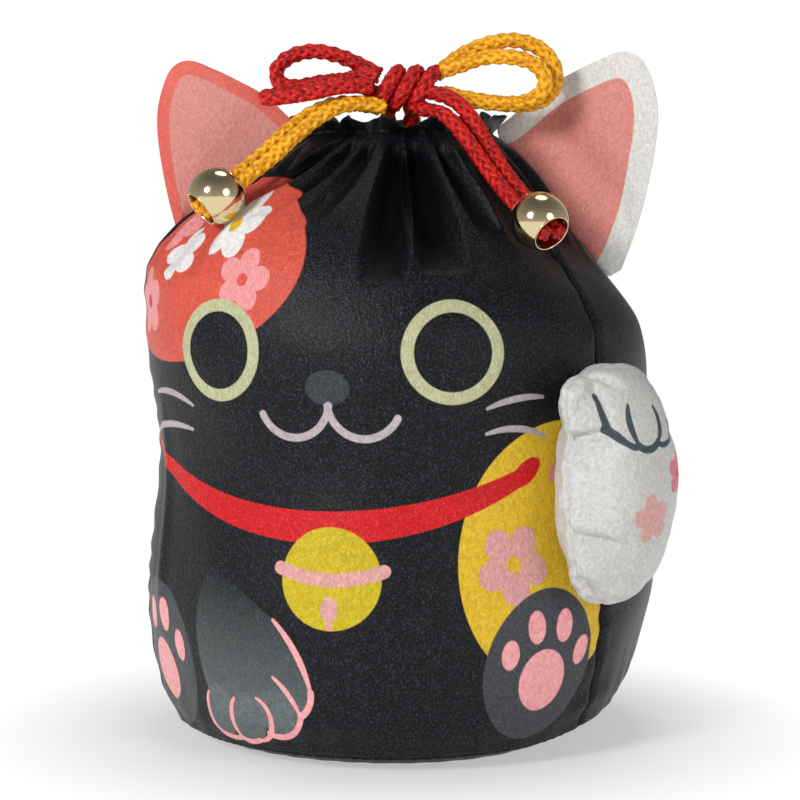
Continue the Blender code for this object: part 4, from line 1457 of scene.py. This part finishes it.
def make_ear(name, side, root_low, finish, node, dent):
    """Two layers of satin with thin filling, sewn round the edge and along the root."""
    angle = side * math.pi / 2
    root_heights = np.linspace(EAR_ROOT_TOP, root_low, 60)
    root_radii = cloth_radius(np.full(60, angle), root_heights) + ON_CLOTH
    root = evenly(np.stack([root_radii, root_heights], axis=1), EAR_COLUMNS)
    free = through(EAR_FREE_EDGE, 0.0007)
    free = free[free[:, 1] > root_low + 0.0012]
    free = evenly(np.vstack([free, root[-1:] + (0.0008, 0.0)]), EAR_COLUMNS)
    front, rear, marks = [], [], []
    for share in np.sin(np.linspace(0, math.pi / 2, EAR_ROWS)):
        ring = root + (free - root) * share
        to_free = distance_inside(ring, free)
        to_root = np.sqrt(((ring[:, None, :] - root[None, :, :]) ** 2).sum(-1)).min(1)
        near = np.minimum(to_free, to_root)
        thick = EAR_EDGE + EAR_FILLING * (1 - np.exp(-near / EAR_ROUNDING))
        r, z = ring[:, 0], ring[:, 1]
        valley = hump((r - 0.0475) * 0.75 + (z - 0.1300) * 0.66, 0.0, 0.0055)
        slope = dent * valley * smooth_step(to_free, 0.0, 0.005)
        wave = 0.0006 * np.sin(r / 0.0060 + z / 0.0085) * smooth_step(near, 0.0, 0.004)
        front.append(np.stack([side * r, slope + wave - thick, z], axis=1))
        rear.append(np.stack([side * r, slope + wave + thick, z], axis=1))
        marks.append(to_free / MM)
    rows = [*reversed(front), *rear]
    marks = [*reversed(marks), *marks]
    made = grid_mesh(name, rows, finish, close_rows=True, caps=True, marks=marks, label="from_edge")
    stands_for(made, node)
    return made


make_ear("ear_left_satin", -1, 0.1155, coral_ear, "ear_left", 0.0008)
make_ear("ear_right_satin", 1, 0.1075, white_ear, "ear_right", 0.0022)


# Paw

# Its outline as seen: height in mm, then how far its left and right edges lie from its middle
PAW_OUTLINE = [
    (37.0, -6.0, -5.6),
    (37.3, -9.2, -2.8),
    (38.6, -12.4, 2.0),
    (41.4, -15.0, 6.4),
    (46.0, -17.2, 9.6),
    (53.0, -18.6, 12.4),
    (62.0, -19.6, 14.0),
    (71.0, -20.0, 13.2),
    (78.0, -20.4, 10.8),
    (82.5, -20.6, 8.4),
    (85.8, -19.4, 5.8),
    (88.0, -12.6, 2.2),
    (89.2, -8.6, -1.4),
    (89.5, -5.6, -5.0),
]
PAW_LOW = PAW_OUTLINE[0][0]
PAW_TALL = PAW_OUTLINE[-1][0] - PAW_LOW
# Half its depth at the fullest, and how far its middle sits back towards the side
PAW_DEEP = 10.1
PAW_BACK = 0.8
# How its cloth is filled out
PAW_VOXEL = 0.0012
PAW_PRESSURE = 200.0
PAW_SLACK = 0.07
PAW_FILL_LIMIT = 0.0026
PAW_FRAMES = 20


def pushed_out(piece, rest, at_seam):
    """Where slack cloth ends up that is held at its seam and pushed out by pressure."""
    scene = bpy.context.scene
    held = piece.vertex_groups.new(name="seam")
    held.add([int(i) for i in np.where(at_seam)[0]], 1.0, "REPLACE")
    cloth = piece.modifiers.new("stuffing", "CLOTH")
    cloth.settings.quality = 5
    cloth.settings.mass = 0.001
    cloth.settings.bending_stiffness = 0.2
    cloth.settings.use_pressure = True
    cloth.settings.uniform_pressure_force = PAW_PRESSURE
    cloth.settings.shrink_min = -PAW_SLACK
    cloth.settings.vertex_group_mass = "seam"
    cloth.settings.effector_weights.gravity = 0.0
    cloth.collision_settings.use_collision = False
    cloth.point_cache.frame_start = 1
    cloth.point_cache.frame_end = PAW_FRAMES
    for number in range(1, PAW_FRAMES + 1):
        scene.frame_set(number)
    graph = bpy.context.evaluated_depsgraph_get()
    move = places_of(piece.evaluated_get(graph).data.vertices, "co", len(rest)) - rest
    far = np.linalg.norm(move, axis=1)[:, None]
    piece.modifiers.remove(cloth)
    piece.vertex_groups.remove(held)
    scene.frame_set(1)
    return rest + move * np.minimum(1.0, PAW_FILL_LIMIT / np.maximum(far, 1e-9))


def stuffed(piece, seam):
    """The piece in even cloth, filled out and smoothed; seam(places) tells which are sewn down."""
    even = piece.modifiers.new("even", "REMESH")
    even.mode = "VOXEL"
    even.voxel_size = PAW_VOXEL
    filled_piece = made_real(piece, "paw_satin")
    mesh = filled_piece.data
    rest = places_of(mesh.vertices, "co", len(mesh.vertices))
    mesh.vertices.foreach_set("co", pushed_out(filled_piece, rest, seam(rest)).ravel())
    mesh.update()
    soft = filled_piece.modifiers.new("soft", "SMOOTH")
    soft.factor = 0.5
    soft.iterations = 5
    fine = filled_piece.modifiers.new("fine", "SUBSURF")
    fine.levels = fine.render_levels = 2
    return made_real(filled_piece, "paw_satin")


def paw_creases(side, rise, z):
    """How far the cloth sinks, in millimetres: creases where the filling bends, puckers at the seam."""
    across_fold = z - 52.2 + 0.3 * (side + 15.5)
    creases = (1.9 * hump(across_fold, 0.0, 1.1) - 0.8 * hump(across_fold, 3.4, 2.4)) * hump(side, -17.0, 6.5)
    # The smaller creases: how deep, at what height, how they slant and from where, how wide,
    # and where across the paw they lie
    for depth, height, slope, start, width, middle, reach in (
        (2.0, 41.5, 0.8, -14.5, 1.0, -13.5, 5.0),
        (2.2, 75.0, -0.5, -17.0, 1.4, -19.0, 4.5),
        (1.6, 88.0, 0.8, -14.0, 1.3, -15.0, 3.5),
    ):
        crease = hump(z - height + slope * (side - start), 0.0, width)
        creases = creases + depth * crease * hump(side, middle, reach)
    creases = creases + 0.9 * hump(side + 16.0 - 0.02 * z, 0.0, 1.1) * hump(z, 81.0, 5.0)
    puckers = 0.25 * np.sin(z * 1.9 + 2 * np.sin(z * 0.31)) * np.exp(-np.abs(rise) / 1.6)
    groove = 0.5 * hump(rise, 0.0, 0.45)
    return creases * smooth_step(rise, -0.5, 1.0) + puckers + groove


def make_paw():
    """The stuffed paw, sewn to the pouch's side."""
    sides = 120
    out = np.array(at(PAW_ANGLE, 1.0, 0.0))
    across = np.array([-out[1], out[0], 0.0])
    turn = np.linspace(0, 2 * math.pi, sides, endpoint=False)
    rows = []
    for z, left, right in through(PAW_OUTLINE, 0.8):
        share = np.clip((z - PAW_LOW) / PAW_TALL, 0.0, 1.0)
        deep = PAW_DEEP * max(math.sin(math.pi * share), 0.001) ** 0.42
        side = (left + right) / 2 + (right - left) / 2 * np.cos(turn)
        place = np.array(PAW_CENTRE)[None, :] * (1, 1, 0) + (0, 0, z * MM)
        rows.append(place + MM * (side[:, None] * across + (deep * np.sin(turn) - PAW_BACK)[:, None] * out))
    start = grid_mesh("paw_start", rows, paw_cloth, close_columns=True, caps=True)

    def local(places):
        away = (places - np.array(PAW_CENTRE)) / MM
        return away @ across, away @ out + PAW_BACK, places[:, 2] / MM

    made = stuffed(start, lambda places: np.abs(local(places)[1]) < 0.9)
    mesh = made.data
    places = places_of(mesh.vertices, "co", len(mesh.vertices))
    normals = places_of(mesh.vertex_normals, "vector", len(mesh.vertices))
    side, rise, z = local(places)
    creases = paw_creases(side, rise, z)
    places = places - normals * creases[:, None] * MM
    least = cloth_radius(np.arctan2(places[:, 0], -places[:, 1]), places[:, 2]) + ON_CLOTH
    radius = np.hypot(places[:, 0], places[:, 1])
    places[:, :2] *= (np.maximum(radius, least) / radius)[:, None]
    mesh.vertices.foreach_set("co", places.ravel())
    mesh.materials.clear()
    mesh.materials.append(paw_cloth)
    mesh.shade_smooth()
    mesh.update()
    stands_for(made, "beckoning_paw")


make_paw()


# Floor and light


FLOOR_HALF = 3.0
FLOOR_DROP = 0.0002
# From the pouch's middle: where its shadow is whole and where the floor is plain white
SHADOW_NEAR = 0.056
SHADOW_FAR = 0.100
SHADOW_LEFT = 0.45


def make_floor():
    """A pale floor that keeps the pouch's shadow and is plain white further out."""
    mesh = bpy.data.meshes.new("floor")
    size = FLOOR_HALF
    corners = [(-size, -size, 0), (size, -size, 0), (size, size, 0), (-size, size, 0)]
    mesh.from_pydata(corners, [], [(0, 1, 2, 3)])
    pale, shades, skin = new_material("pale_floor")
    skin["Base Color"].default_value = (0.92, 0.92, 0.92, 1.0)
    skin["Roughness"].default_value = 0.8
    skin["Specular IOR Level"].default_value = 0.1
    away = shades.vector("LENGTH", object_place(shades))
    bright = shades.node("ShaderNodeEmission")
    fade = shades.node("ShaderNodeMixShader")
    shades.put(fade.inputs[0], shades.ramp(away, SHADOW_NEAR, SHADOW_FAR, SHADOW_LEFT, 1.0))
    shades.put(fade.inputs[1], pale.node_tree.nodes["Principled BSDF"].outputs[0])
    shades.put(fade.inputs[2], bright.outputs[0])
    shades.put(pale.node_tree.nodes["Material Output"].inputs[0], fade.outputs[0])
    mesh.materials.append(pale)
    floor = placed("floor", mesh)
    floor.location.z = -FLOOR_DROP


def make_backdrop():
    """White behind the pouch, and soft light all round, stronger from the sides than from above."""
    world = bpy.data.worlds.new("studio")
    world.use_nodes = True
    made = Shades(world.node_tree)
    background = world.node_tree.nodes["Background"]
    ray = made.node("ShaderNodeLightPath").outputs["Is Camera Ray"]
    aloft = made.parts(made.node("ShaderNodeTexCoord").outputs["Generated"])[2]
    soft = made.ramp(aloft, 0.0, 0.9, 0.42, 0.14)
    made.put(background.inputs["Strength"], made.maths("MAXIMUM", soft, ray))
    background.inputs["Color"].default_value = (1.0, 1.0, 1.0, 1.0)
    bpy.context.scene.world = world


def make_lamps():
    """The key, fill and top lamps, each aimed at the pouch."""
    for name, place, aim, size, power in (
        ("key light", (-0.40, -0.95, 0.52), (0, 0, 0.07), 0.30, 7.6),
        ("fill light", (0.9, -0.6, 0.4), (0, 0, 0.07), 0.5, 2.2),
        ("top light", (0.05, 0.25, 1.1), (0, 0, 0.1), 0.5, 1.3),
    ):
        data = bpy.data.lights.new(name, "AREA")
        data.shape = "DISK"
        data.size = size
        data.energy = power
        lamp = placed(name, data)
        lamp.location = place
        lamp.rotation_euler = (Vector(place) - Vector(aim)).to_track_quat("Z", "Y").to_euler()


make_floor()
make_backdrop()
make_lamps()
bpy.context.scene.view_settings.view_transform = "Standard"
